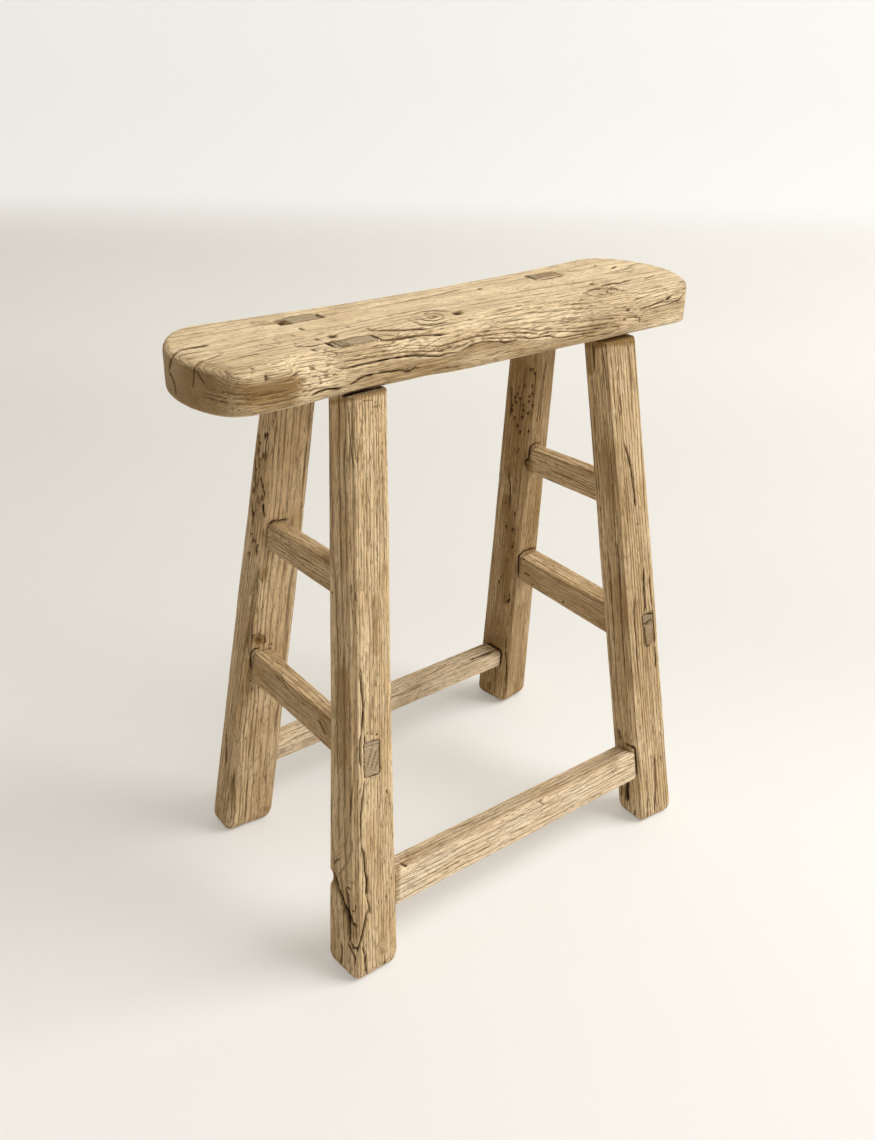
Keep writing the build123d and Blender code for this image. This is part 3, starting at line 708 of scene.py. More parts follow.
# Rails
RAIL_MARKS = {
    "lower_end_rail_right": (
        *RAIL_TENON, Pit((523, 559), (1.4, 1.4), 1.4), crack(0.8, 1.0, 0.9, 524, 572.5, 529.5, 576),
        Pit((532.4, 584.4), (1.2, 1.2), 1.2), crack(1.2, 1.4, 0.9, 539, 592.5, 545, 595.5),
        Pit((562.8, 602), (1.2, 1.2), 1.2), wash(6.0, 0.5, 521, 556, 530, 566),
    ),
    "upper_end_rail_right": (
        wash(6.0, 0.75, 526, 447, 529, 472), wash(3.0, 0.55, 550, 453, 590, 464),
        crack(0.6, 0.7, 0.5, 548, 470, 570, 478, 588, 484),
    ),
    "lower_end_rail_left": (
        crack(0.9, 1.2, 0.9, 318, 720, 325, 735), wash(6.0, 0.6, 320, 718, 330, 738),
        crack(0.6, 0.7, 0.6, 367, 769, 370, 757, 372, 748),
        crack(0.6, 0.7, 0.6, 370.5, 771, 374, 759, 377, 749),
        crack(0.6, 0.7, 0.6, 374, 772, 378, 761, 380, 752),
        crack(0.6, 0.7, 0.5, 272, 672, 292, 694, 312, 712),
    ),
    "upper_end_rail_left": (
        # The wash is painted shade on the rail's end beside its joint with the back left leg
        crack(0.6, 0.7, 0.5, 280, 540, 300, 556, 318, 568), wash(4.0, 0.5, 271, 527, 276, 540),
    ),
    "front_rail": (
        crack(1.4, 1.8, 0.95, 400, 862, 407, 866), crack(0.6, 0.6, 0.4, 440, 872, 470, 856, 500, 842),
        crack(0.6, 0.6, 0.4, 470, 868, 510, 848, 545, 830), crack(0.8, 0.9, 0.7, 535, 800, 545, 805),
        Pit((541, 800), (2.4, 1.4), 0.8, 0.7), wash(9.0, 0.5, 410, 857, 517, 802, 613, 756),
        # The first wash is painted shade in the narrow recess between the rail's end and the front left leg
        wash(3.5, 0.7, 398, 868, 398, 898), Stain((612, 765), (9, 8), 0.35),
    ),
    "rear_rail": (
        crack(1.0, 1.4, 0.95, 468, 660, 482, 655, 495, 650),
        crack(0.6, 0.6, 0.45, 400, 692, 425, 681, 450, 671), wash(4.0, 0.5, 484, 655, 495, 652),
    ),
}


@dataclass(frozen=True)
class Grain:
    """Growth rings of one piece: where the tree's heart lay off its axis, and how the rings run, in mm."""

    heart: Pair
    pitch: float
    wander: float
    run: float
    groove: float
    seed: int
    # Width of the broad and the narrow bends of the rings in mm, share of the narrow ones, and how unevenly
    # the years lie and over how many of them
    BROAD, NARROW, NARROW_SHARE, UNEVEN, SPAN = 40.0, 9.0, 0.3, 0.45, 1.7

    def rings(self, places: np.ndarray) -> np.ndarray:
        """Ring number, growing smoothly outwards.

        Args:
            places: Places in the piece's own mm, three to a row.

        Returns:
            One number for each place.
        """
        across = places[:, 0] - self.heart[0]
        deep = places[:, 1] - self.heart[1]
        narrow = (self.NARROW, self.NARROW, self.run / 4)
        bent = self.wander * waves(places, (self.BROAD, self.BROAD, self.run), self.seed)
        bent += self.NARROW_SHARE * self.wander * waves(places, narrow, self.seed + BENT)
        rings = (np.hypot(across, deep) + bent) / self.pitch
        years = np.stack([rings, rings * 0.0, rings * 0.0], axis=1)
        return rings + self.UNEVEN * waves(years, (self.SPAN, 1.0, 1.0), self.seed + YEARS)


class Socket:
    """Shader value that grows by Python expressions: each operator adds one Math node."""

    def __init__(self, sheet: "Shader", link: bpy.types.NodeSocket) -> None:
        """Wraps a node's output."""
        self.sheet = sheet
        self.link = link

    def _join(self, operation: str, first: object, second: object) -> "Socket":
        """Adds a Math node on two values."""
        return self.sheet.node("ShaderNodeMath", {"operation": operation}, {0: first, 1: second})

    def __add__(self, other: object) -> "Socket":
        """Sum."""
        return self._join("ADD", self, other)

    __radd__ = __add__

    def __sub__(self, other: object) -> "Socket":
        """Difference."""
        return self._join("SUBTRACT", self, other)

    def __rsub__(self, other: object) -> "Socket":
        """Difference from a number."""
        return self._join("SUBTRACT", other, self)

    def __mul__(self, other: object) -> "Socket":
        """Product."""
        return self._join("MULTIPLY", self, other)

    __rmul__ = __mul__

    def __pow__(self, other: object) -> "Socket":
        """Power."""
        return self._join("POWER", self, other)

    def size(self) -> "Socket":
        """Value without its sign."""
        return self._join("ABSOLUTE", self, 0.0)

    def valley(self) -> "Socket":
        """How near a running number is to a whole one, from 0 halfway to 1 on it."""
        return (self._join("FRACT", self, 0.0) - 0.5).size() * 2.0

    def between(self, low: float, high: float) -> "Socket":
        """Value taken smoothly from 0 to 1.

        Args:
            low: Where it is 0.
            high: Where it is 1.

        Returns:
            The new value.
        """
        settings = {"interpolation_type": "SMOOTHSTEP", "clamp": True}
        values = {"Value": self, "From Min": low, "From Max": high}
        return self.sheet.node("ShaderNodeMapRange", settings, values)


class Shader:
    """Node sheet of one material."""

    def __init__(self, name: str) -> None:
        """Makes the material with nothing but its output.

        Args:
            name: The material's name.
        """
        self.material = bpy.data.materials.new(name)
        self.material.use_nodes = True
        self.tree = self.material.node_tree
        self.tree.nodes.clear()
        self.output = self.tree.nodes.new("ShaderNodeOutputMaterial")

    def node(self, kind: str, settings: dict, values: dict, out: object = 0) -> Socket:
        """Adds a node.

        Args:
            kind: The node's type.
            settings: Its properties, set first.
            values: A number, colour or Socket for each input, by name or place.
            out: Name or place of the output that is given back.

        Returns:
            That output, wrapped.
        """
        made = self.tree.nodes.new(kind)
        for name, value in settings.items():
            setattr(made, name, value)
        for name, value in values.items():
            if isinstance(value, Socket):
                self.tree.links.new(value.link, made.inputs[name])
            else:
                made.inputs[name].default_value = value
        return Socket(self, made.outputs[out])

    def carried(self, name: str, out: str = "Fac") -> Socket:
        """Reads what the mesh carries at each vertex under a name."""
        return self.node("ShaderNodeAttribute", {"attribute_name": name}, {}, out)

    def speckle(self, places: Socket, across: float, along: float, detail: float) -> Socket:
        """Noise that is drawn out along the grain.

        Args:
            places: Places in the piece's own mm.
            across: Size across the grain, in mm.
            along: Size along it, in mm.
            detail: How many finer layers it has.

        Returns:
            A value from 0 to 1.
        """
        inverse = (1.0 / across, 1.0 / across, 1.0 / along)
        scaled = self.node("ShaderNodeVectorMath", {"operation": "MULTIPLY"}, {0: places, 1: inverse})
        values = {"Vector": scaled, "Scale": 1.0, "Detail": detail}
        return self.node("ShaderNodeTexNoise", {"noise_dimensions": "3D"}, values)

    def blend(self, share: object, first: object, second: object) -> Socket:
        """Mixes two colours, the second one by a share."""
        return self.node("ShaderNodeMix", {"data_type": "RGBA"}, {"Factor": share, 6: first, 7: second}, 2)

    def finish(self, shader: Socket) -> bpy.types.Material:
        """Joins a shader to the output."""
        self.tree.links.new(shader.link, self.output.inputs["Surface"])
        return self.material


@dataclass(frozen=True)
class Elm:
    """Old elm with a dry surface: pale wood, brown ring lines, open pores, stains and grey ends.

    Broad to broken are the noises of its figure: size across and along the grain in mm, and detail.
    """

    name: str
    pale: Color = (0.80, 0.62, 0.385, 1.0)
    warm: Color = (0.63, 0.445, 0.24, 1.0)
    line: Color = (0.185, 0.11, 0.045, 1.0)
    # Brown of stains, also the colour of painted shade
    stain_and_shade: Color = (0.27, 0.155, 0.044, 1.0)
    weathered_end: Color = (0.44, 0.345, 0.235, 1.0)
    # Near-black of the darkest hollows, also the colour of painted shade lines with no depth
    deep: Color = (0.030, 0.016, 0.008, 1.0)
    line_strength: float = 1.0
    line_power: float = 4.5
    ridge_power: float = 4.0
    hair_strength: float = 0.8
    relief: float = 0.9
    relief_high: float = 0.0009
    roughness: float = 0.62
    shine: float = 0.3
    broad: Triple = (14.0, 60.0, 3.0)
    streak: Triple = (1.5, 50.0, 3.0)
    hair: Triple = (0.75, 26.0, 2.0)
    fine: Triple = (0.45, 6.0, 2.0)
    dash: Triple = (0.9, 9.0, 1.0)
    broken: Triple = (4.0, 26.0, 2.0)

    def material(self) -> bpy.types.Material:
        """Builds the finish from what the mesh carries: grain places, ring numbers, hollows, stains and ends.
        The hollows and stains also carry painted shade.

        Returns:
            The material, under the finish's name.
        """
        sheet = Shader(self.name)
        places = sheet.carried("grain", "Vector")
        figure = (self.broad, self.streak, self.hair, self.fine, self.dash, self.broken)
        broad, streak, hair, fine, dash, broken = (sheet.speckle(places, *sizes) for sizes in figure)
        ring = sheet.carried("ring") + streak * 0.35
        years = {"W": ring * 0.9, "Scale": 1.0, "Detail": 0.0}
        tone = sheet.node("ShaderNodeTexNoise", {"noise_dimensions": "1D"}, years)
        ends = sheet.carried("cut")
        edge = ring.valley() ** self.line_power
        line = edge * (broken.between(0.25, 0.6) * 0.7 + 0.3) * (tone.between(0.3, 0.6) * 0.6 + 0.4)
        line = line * (1.0 - ends * 0.6)
        ridge = sheet.carried("ridge")
        ridges = (sheet.carried("ridges") + streak * 0.25).valley() ** self.ridge_power
        line = line * (1.0 - ridge * 0.7) + ridge * ridges * (broken.between(0.2, 0.5) * 0.5 + 0.5)
        hairs = hair.between(0.55, 0.66) * (edge * 0.35 + 0.65)
        dashes = dash.between(0.63, 0.70)
        pores = fine.between(0.56, 0.7)
        stain_and_shade = sheet.carried("stain_and_shade") * (broad * 0.6 + streak * 0.7 + fine * 0.4)
        hollow_and_shade = sheet.carried("hollow_and_shade")
        color = sheet.blend(broad.between(0.32, 0.7), self.pale, self.warm)
        for share, layer in (
            (streak.between(0.45, 0.75) * 0.6, self.warm),
            (pores * 0.45, self.line),
            (hairs * self.hair_strength, self.line),
            (dashes * 0.7, self.line),
            (line * self.line_strength, self.line),
            (ends * (fine * 0.9 + 0.35), self.weathered_end),
            # Brown of stains and of painted shade, then the dark of cracks, pits and painted shade lines
            (stain_and_shade.between(0.0, 1.0), self.stain_and_shade),
            (hollow_and_shade.between(0.12, 0.55) * 0.75, self.line),
            (hollow_and_shade.between(0.5, 0.95), self.deep),
        ):
            color = sheet.blend(share, color, layer)
        height = streak * 0.5 - line * 0.9 - hairs * 0.6 - dashes * 0.7 - pores * 0.35
        relief = {"Strength": self.relief, "Distance": self.relief_high, "Height": height}
        values = {
            "Base Color": color,
            "Roughness": self.roughness + hollow_and_shade * 0.3 + streak * 0.12,
            "Normal": sheet.node("ShaderNodeBump", {}, relief),
            "Specular IOR Level": self.shine,
        }
        return sheet.finish(sheet.node("ShaderNodeBsdfPrincipled", {}, values))


def shaped(piece: bpy.types.Object, kind: str, **settings: object) -> None:
    """Adds a modifier to the active piece and applies it.

    Args:
        piece: The piece, without other modifiers.
        kind: The modifier's type.
        **settings: Its properties.
    """
    bpy.ops.object.modifier_add(type=kind)
    modifier = piece.modifiers[0]
    for name, value in settings.items():
        setattr(modifier, name, value)
    bpy.ops.object.modifier_apply(modifier=modifier.name)


def valley(numbers: np.ndarray) -> np.ndarray:
    """How near each running number is to a whole one, from 0 halfway to 1 on it."""
    return np.abs(numbers % 1.0 - 0.5) * 2.0


@dataclass
class Timber:
    """One piece of the stool: its node, its own frame, its rings and the marks of its age.

    Fine is the size of its mesh across the grain in mm, and stretch is how much longer it is along it.
    Drop is how far the middle of its sides across lies below its axis. Hidden gives the sides that the
    photograph doesn't show, with half the width over which cracks are strewn.
    """

    node: str
    slot: str
    finish: Elm
    grain: Grain
    start: Triple
    end: Triple
    turn: float = 0.0
    fine: float = 0.7
    stretch: float = 2.4
    wear: float = 0.7
    round_over: float = 1.0
    smooth: int = 2
    brown: float = 0.0
    drop: float = 0.0
    marks: tuple[Mark, ...] = ()
    hidden: tuple[tuple[Side, float], ...] = ()
    # Sizes of the bumps in the wear, the edges, the cracks' sides, the grooves and the browning, in mm
    WORN, ROUNDED, UNEVEN = (14.0, 14.0, 55.0), (60.0, 60.0, 28.0), (3.0, 3.0, 5.0)
    GROOVED, BROWNED = (8.0, 8.0, 40.0), (30.0, 30.0, 90.0)
    # Depth of the wear and greatest unevenness of a crack's side, in mm
    WEAR_DEEP, UNEVEN_WIDE = 0.35, 0.3

    def frame_axes(self) -> tuple[np.ndarray, np.ndarray]:
        """The piece's own frame.

        Returns:
            The origin in mm, and the three axes as columns: across, deep and along the grain.
        """
        origin = np.array(self.start)
        along = np.array(self.end) - origin
        along /= np.linalg.norm(along)
        upright = abs(along[2]) > 0.7
        side = np.array([1.0, 0.0, 0.0]) if upright else np.cross([0.0, 0.0, 1.0], along)
        side -= along * (side @ along)
        side /= np.linalg.norm(side)
        deep = np.cross(along, side)
        angle = np.radians(self.turn)
        across = side * np.cos(angle) + deep * np.sin(angle)
        return origin, np.stack([across, np.cross(along, across), along], axis=1)

    def cut(self) -> bpy.types.Object:
        """Makes an even mesh of the node's shape, finer across the grain than along it.

        Returns:
            The piece, without material.
        """
        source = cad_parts[self.node]
        bpy.ops.object.select_all(action="DESELECT")
        piece = bpy.data.objects.new(f"{self.node}_worn", source.data.copy())
        bpy.context.scene.collection.objects.link(piece)
        piece.data.materials.clear()
        bpy.context.view_layer.objects.active = piece
        piece.select_set(True)
        bpy.ops.object.mode_set(mode="EDIT")
        bpy.ops.mesh.select_all(action="SELECT")
        bpy.ops.mesh.remove_doubles(threshold=MERGE)
        bpy.ops.object.mode_set(mode="OBJECT")
        origin, axes = self.frame_axes()
        place = Matrix(axes.tolist()).to_4x4()
        place.translation = (origin * MM).tolist()
        squeeze = Matrix.Diagonal((1.0, 1.0, 1.0 / self.stretch, 1.0))
        piece.data.transform(squeeze @ place.inverted())
        size = self.fine * MM * 1.0
        shaped(piece, "REMESH", mode="VOXEL", voxel_size=size)
        shaped(piece, "SMOOTH", iterations=self.smooth)
        piece.data.transform(place @ squeeze.inverted())
        bpy.ops.object.shade_smooth()
        return piece

    def read(self, piece: bpy.types.Object) -> tuple[np.ndarray, np.ndarray]:
        """Reads the vertices.

        Args:
            piece: The piece.

        Returns:
            The vertices in mm and their normals, three to a row.
        """
        count = len(piece.data.vertices)
        points, normals = np.empty(count * 3), np.empty(count * 3)
        piece.data.vertices.foreach_get("co", points)
        piece.data.vertex_normals.foreach_get("vector", normals)
        return points.reshape(-1, 3) / MM, normals.reshape(-1, 3)

    def shape(self, points: np.ndarray) -> np.ndarray:
        """Moves the vertices to the piece's worn form before its marks are cut."""
        return points

    def tint(self, places: np.ndarray, turned: np.ndarray) -> np.ndarray:
        """How brown the wood is overall, from 0 to 1, for each vertex."""
        return self.brown * (1.0 + 0.5 * waves(places, self.BROWNED, self.grain.seed + BROWN))

    def ridged(self, places: np.ndarray, turned: np.ndarray) -> tuple[np.ndarray, np.ndarray]:
        """How deep the worn ridges are, from 0 to 1, and their running number, for each vertex."""
        return np.zeros(len(places)), np.zeros(len(places))

    def aged(self) -> list[Split]:
        """Makes up cracks and wormholes for the sides that the photograph doesn't show.

        Returns:
            The cracks, and the wormholes as very short cracks, side by side.
        """
        chance = random.Random(self.grain.seed)
        length = float(np.linalg.norm(np.array(self.end) - np.array(self.start)))
        made = []
        for side, half in self.hidden:
            drop = self.drop if side.value[0] == 0 else 0.0
            for _ in range(2 + int(length / CRACK_EVERY)):
                start = chance.uniform(0.03, 0.85) * length
                end = min(start + chance.uniform(18.0, 90.0), length * 0.97)
                across = chance.uniform(-half, half) - drop
                wide = chance.uniform(0.5, 1.0)
                made.append(Split(side, across, start, end, wide, chance.uniform(0.8, 2.2)))
            for _ in range(1 + int(length / HOLE_EVERY)):
                start = chance.uniform(0.05, 0.95) * length
                across = chance.uniform(-half, half) - drop
                made.append(Split(side, across, start, start + HOLE_LONG, 1.1, 1.8))
        return made

    def weather(self, piece: bpy.types.Object) -> None:
        """Cuts rings, wear and marks into the mesh, and stores what the finish reads.

        Args:
            piece: The piece, evenly meshed.
        """
        self.write(piece, self.shape(self.read(piece)[0]))
        points, normals = self.read(piece)
        origin, axes = self.frame_axes()
        places = (points - origin) @ axes
        turned = normals @ axes
        seed = self.grain.seed
        corner = np.clip(CORNER_FLAT - np.abs(turned[:, :2]).max(axis=1), 0.0, CORNER_SPAN) / CORNER_SPAN
        corner *= 1.0 - eased(np.abs(turned[:, 2]), 0.3, 0.6)
        sink = self.WEAR_DEEP * self.wear * (1.0 + waves(places, self.WORN, seed + WEAR))
        sink += corner * self.round_over * (0.7 + 0.7 * waves(places, self.ROUNDED, seed + EDGE))
        surface = Surface(
            places, turned, VIEW.pixels(points), VIEW.facing(points, normals), seed,
            jitter=self.UNEVEN_WIDE * waves(places, self.UNEVEN, seed + JITTER),
            rings=self.grain.rings(places), sink=sink,
            stain_and_shade=self.tint(places, turned), hollow_and_shade=np.zeros(len(points)),
        )
        for mark in (*self.marks, *self.aged()):
            mark.work(surface)
        ridge, ridges = self.ridged(places, turned)
        groove = 1.0 + 0.5 * waves(places, self.GROOVED, seed + GROOVE)
        sink = surface.sink + ridge * RIDGE_DEEP * valley(ridges) ** 2
        sink += self.grain.groove * valley(surface.rings) ** 2 * groove
        self.write(piece, points - normals * sink[:, None])
        self.store(piece, "grain", "FLOAT_VECTOR", places)
        self.store(piece, "ring", "FLOAT", surface.rings)
        self.store(piece, "hollow_and_shade", "FLOAT", surface.hollow_and_shade)
        self.store(piece, "stain_and_shade", "FLOAT", surface.stain_and_shade)
        self.store(piece, "cut", "FLOAT", eased(np.abs(turned[:, 2]), 0.75, 0.93))
        self.store(piece, "ridge", "FLOAT", ridge)
        self.store(piece, "ridges", "FLOAT", ridges)

    def write(self, piece: bpy.types.Object, points: np.ndarray) -> None:
        """Puts the vertices at points in mm."""
        piece.data.vertices.foreach_set("co", (points * MM).ravel())
        piece.data.update()

    def store(self, piece: bpy.types.Object, name: str, kind: str, values: np.ndarray) -> None:
        """Stores values at the vertices under a name."""
        layer = piece.data.attributes.new(name, kind, "POINT")
        layer.data.foreach_set("vector" if kind == "FLOAT_VECTOR" else "value", values.ravel())

    def build(self, finishes: dict[str, bpy.types.Material]) -> bpy.types.Object:
        """Makes, weathers and dresses the piece, and puts it in its node's place.

        Args:
            finishes: The materials by name.

        Returns:
            The finished piece.
        """
        piece = self.cut()
        self.weather(piece)
        piece.data.materials.append(finishes[self.finish.name])
        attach(piece, "root")
        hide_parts(self.node)
        return piece


@dataclass
class SeatPlank(Timber):
    """Seat with a hollowed front shoulder: place along it, run back from the front, drop, in mm.

    Edge is how far below the top its lower front edge lies, and wave is how far that edge is lifted.
    """

    fine: float = 0.835
    stretch: float = 2.75
    wear: float = 0.5
    round_over: float = 0.6
    smooth: int = 3
    drop: float = 16.0
    shoulder: tuple[Triple, ...] = ()
    front: float = -65.5
    top: float = 500.0
    edge: float = 22.0
    wave: float = 1.4
    wave_middle: float = -105.0
    patch_seed: int = 12

    def shape(self, points: np.ndarray) -> np.ndarray:
        """Rounds the flat shoulder over into the top, and lifts the lower front edge by the front left leg.

        Args:
            points: Vertices in mm, three to a row.

        Returns:
            The moved vertices.
        """
        table = np.array(self.shoulder)
        run = np.interp(points[:, 0], table[:, 0], table[:, 1])
        drop = np.interp(points[:, 0], table[:, 0], table[:, 2])
        depth = (self.front + run - points[:, 1]) / run
        flat = np.where(depth > 0.0, depth * drop, 0.0)
        rounded = np.where(depth > 0.0, np.clip(depth, 0.0, 1.0) ** 1.6 * drop, 0.0)
        on_shoulder = (depth > 0.0) & (points[:, 2] > self.top - flat - 1.5) & (depth < 1.05)
        moved = points.copy()
        moved[:, 2] += np.where(on_shoulder, flat - rounded, 0.0) * 0.8
        under = eased(self.top - self.edge - points[:, 2], 0.0, 9.0) * eased(-points[:, 1], 48.0, 62.0)
        moved[:, 2] += self.wave * under * eased(70.0 - np.abs(points[:, 0] - self.wave_middle), 0.0, 30.0)
        return moved

    def ridged(self, places: np.ndarray, turned: np.ndarray) -> tuple[np.ndarray, np.ndarray]:
        """Ridges along the slope of the shoulder, that bend with its crest.

        Args:
            places: Places in the piece's own mm, three to a row.
            turned: Normals in its own frame.

        Returns:
            How deep the ridges are, from 0 to 1, and their running number.
        """
        table = np.array(self.shoulder)
        seed = self.grain.seed
        run = np.interp(places[:, 2] + self.start[0], table[:, 0], table[:, 1])
        depth = (self.front + run - places[:, 0]) / run
        ridges = depth * 8.0 + 0.45 * waves(places, (16.0, 16.0, 34.0), seed + RIDGE)
        ridges += 0.12 * waves(places, (6.0, 6.0, 12.0), seed + FINE_RIDGE)
        mask = eased(depth, -0.1, 0.15) * eased(turned[:, 1], 0.1, 0.3) * eased(run, 9.0, 15.0)
        patches = 0.6 + 0.4 * waves(places, (20.0, 20.0, 30.0), self.patch_seed)
        return mask * eased(places[:, 2], 88.0, 120.0) * patches, ridges

    def tint(self, places: np.ndarray, turned: np.ndarray) -> np.ndarray:
        """Browner front face and ends, which nobody has polished by sitting; on the front face the brown is
        partly painted shade for its undercut.

        Args:
            places: Places in the piece's own mm, three to a row.
            turned: Normals in its own frame.

        Returns:
            How brown each vertex is.
        """
        patches = 1.0 + 0.6 * waves(places, (30.0, 12.0, 60.0), self.grain.seed + BROWN)
        # Partly painted shade: the front face is browned to stand for the shade on its undercut
        front = 0.68 * eased(-turned[:, 0], 0.74, 0.97) * eased(places[:, 2], 90.0, 130.0)
        front *= 1.0 - 0.7 * eased(places[:, 2], 330.0, 390.0)
        upright = 1.0 - eased(np.abs(turned[:, 1]), 0.45, 0.85)
        left = 0.46 * upright * (1.0 - eased(places[:, 2], 58.0, 72.0))
        right = 0.4 * upright * eased(places[:, 2], 440.0, 460.0)
        return np.maximum(front, left + right) * patches


@dataclass
class Leg(Timber):
    """Leg whose foot is worn round."""

    round_over: float = 1.9
    foot_high: float = 12.0
    foot_share: float = 0.16

    def shape(self, points: np.ndarray) -> np.ndarray:
        """Draws the foot in, more and more towards the floor.

        Args:
            points: Vertices in mm, three to a row.

        Returns:
            The moved vertices.
        """
        origin, axes = self.frame_axes()
        middle = origin + points[:, 2:] * (axes[:, 2] / axes[2, 2])
        share = np.clip(1.0 - points[:, 2] / self.foot_high, 0.0, 1.0) ** 2 * self.foot_share
        return points + (middle - points) * share[:, None] * [1.0, 1.0, 0.0]


@dataclass
class Rail(Timber):
    """Rail with narrow worn edges."""

    fine: float = 0.65
    stretch: float = 2.2
    wear: float = 0.5
    round_over: float = 0.8


@dataclass
class Wedge(Timber):
    """Small wedge, finely meshed and little worn."""

    fine: float = 0.45
    stretch: float = 1.3
    wear: float = 0.15
    round_over: float = 0.3


@dataclass
class Stool:
    """The whole stool: its finishes, its seat, legs, rails and wedges."""

    body: Elm = Elm("elm_body")
    dry: Elm = Elm("elm_dry", pale=(0.91, 0.76, 0.55, 1.0), warm=(0.79, 0.61, 0.40, 1.0), line_strength=0.8)
    fair: Elm = Elm("elm_fair", weathered_end=(0.80, 0.63, 0.41, 1.0))
    seat: Elm = Elm(
        "elm_seat", pale=(0.885, 0.72, 0.472, 1.0), warm=(0.71, 0.54, 0.32, 1.0),
        weathered_end=(0.50, 0.35, 0.19, 1.0), line_strength=0.95, line_power=8.0,
    )
    end: Elm = Elm(
        "elm_end_grain", pale=(0.34, 0.27, 0.19, 1.0), warm=(0.27, 0.20, 0.13, 1.0), line_strength=0.5,
    )

    def plank(self) -> SeatPlank:
        """The seat, with the run and the drop of its shoulder from its left end to its right.

        Returns:
            The seat.
        """
        shoulder = (
            (-255.0, 6.0, 5.0), (-182.0, 8.0, 6.0), (-176.0, 16.0, 22.0), (-152.0, 16.0, 20.5),
            (-136.0, 11.5, 17.0), (-98.0, 11.5, 14.5), (-74.0, 22.0, 16.5), (-45.0, 28.0, 19.0),
            (-18.0, 30.0, 13.5), (5.0, 30.0, 16.0), (45.0, 28.0, 21.5), (90.0, 20.0, 25.5),
            (112.0, 14.0, 26.0), (150.0, 14.0, 25.0), (163.0, 13.0, 17.0), (200.0, 14.0, 14.5),
            (255.0, 8.0, 6.0),
        )
        return SeatPlank(
            "seat_plank", "seat_wood", self.seat, Grain((6.0, -150.0), 1.75, 1.9, 190.0, 0.22, 11),
            (-242.0, 0.0, 500.0), (242.0, 0.0, 500.0), marks=SEAT_MARKS, shoulder=shoulder,
            hidden=((Side.ACROSS_HIGH, 10.0), (Side.DEEP_LOW, 45.0), (Side.DEEP_LOW, 20.0)),
        )

    def legs(self) -> list[Timber]:
        """The four legs, between the floor and the top of the seat.

        Returns:
            The legs, front left, back left, front right and back right.
        """
        body, fair = self.body, self.fair
        rows = (
            ("front_left", body, Grain((-75.0, 22.0), 2.7, 2.2, 130.0, 0.22, 21),
             (-170.8, -123.9, 0.0), (-116.0, -46.5, 500.0), 1.8, 0.0, FRONT_LEFT_MARKS),
            ("back_left", body, Grain((40.0, 60.0), 2.9, 2.2, 120.0, 0.2, 31),
             (-159.1, 100.1, 0.0), (-119.8, 28.0, 500.0), -3.5, 0.14, BACK_LEFT_MARKS),
            ("front_right", fair, Grain((60.0, -40.0), 3.1, 2.6, 140.0, 0.22, 41),
             (165.0, -124.8, 0.0), (133.6, -45.5, 500.0), -3.1, 0.22, FRONT_RIGHT_MARKS),
            ("back_right", body, Grain((-50.0, -55.0), 2.8, 2.4, 120.0, 0.2, 51),
             (188.7, 122.5, 0.0), (128.3, 29.2, 500.0), 7.0, 0.7, BACK_RIGHT_MARKS),
        )
        behind = ((Side.ACROSS_HIGH, 12.0), (Side.DEEP_HIGH, 12.0))
        return [
            Leg(
                f"leg_{name}", "leg_wood", finish, grain, foot, top, turn,
                brown=brown, marks=marks, hidden=behind,
            )
            for name, finish, grain, foot, top, turn, brown, marks in rows
        ]

    def rails(self) -> list[Timber]:
        """The six rails, between the places where their axes meet the legs'.

        Returns:
            The four end rails and the two long ones.
        """
        end_sides = ((Side.ACROSS_LOW, 8.0), (Side.DEEP_LOW, 5.0))
        long_sides = ((Side.ACROSS_HIGH, 8.0), (Side.DEEP_LOW, 4.0))
        rows = (
            ("upper_end_rail_left", (-141.0, -74.1, 321.7), (-141.0, 53.9, 320.0), (30.0, 40.0), 61, 0.2),
            ("lower_end_rail_left", (-152.7, -94.9, 187.5), (-151.0, 72.6, 190.5), (-30.0, 45.0), 65, 0.34),
            ("upper_end_rail_right", (146.2, -73.4, 324.0), (147.5, 63.1, 318.3), (25.0, -40.0), 71, 0.2),
            ("lower_end_rail_right", (160.0, -94.4, 191.5), (168.3, 87.0, 190.0), (-20.0, 40.0), 75, 0.45),
            ("front_rail", (-164.1, -117.0, 61.5), (161.1, -116.5, 62.6), (28.0, -35.0), 81, 0.0),
            ("rear_rail", (-153.2, 90.4, 74.5), (180.8, 108.8, 65.2), (-35.0, 30.0), 91, 0.05),
        )
        made = []
        for name, start, end, heart, seed, brown in rows:
            short = "end_rail" in name
            made.append(Rail(
                name, "rail_wood", self.body if short else self.dry, Grain(heart, 2.5, 1.8, 90.0, 0.18, seed),
                start, end, brown=brown, marks=RAIL_MARKS[name], hidden=end_sides if short else long_sides,
            ))
        return made

    def wedges(self) -> list[Timber]:
        """The four seat wedges and the two rail wedges.

        Returns:
            The wedges, those of the seat first.
        """
        rows = (
            ("front_left", -131.0, -46.2, 495.0, self.end, 0.5, SEAT_TENONS),
            ("back_left", -134.5, 25.0, 490.0, self.end, 0.9, SEAT_TENONS),
            ("front_right", 114.0, -43.5, 495.0, self.fair, 0.15, TORN),
            ("back_right", 113.0, 26.6, 495.0, self.end, 0.15, SEAT_TENONS),
        )
        made = []
        for number, (name, x, y, top, finish, brown, marks) in enumerate(rows):
            grain = Grain((30.0, 20.0), 1.6, 0.8, 40.0, 0.1, 101 + number)
            made.append(Wedge(
                f"seat_wedge_{name}", "wedge_wood", finish, grain, (x, y, 470.0), (x, y, top),
                brown=brown, marks=marks,
            ))
        ends = (("left", 314, -150.0, 203.0, 0.1), ("right", 319, 153.0, 208.0, 0.45))
        for name, seed, x, z, brown in ends:
            grain = Grain((20.0, 25.0), 1.6, 0.8, 40.0, 0.1, seed)
            made.append(Wedge(
                f"rail_wedge_{name}", "wedge_wood", self.end, grain, (x, -112.0, z), (x, -86.0, z),
                brown=brown, marks=RAIL_TENON,
            ))
        return made

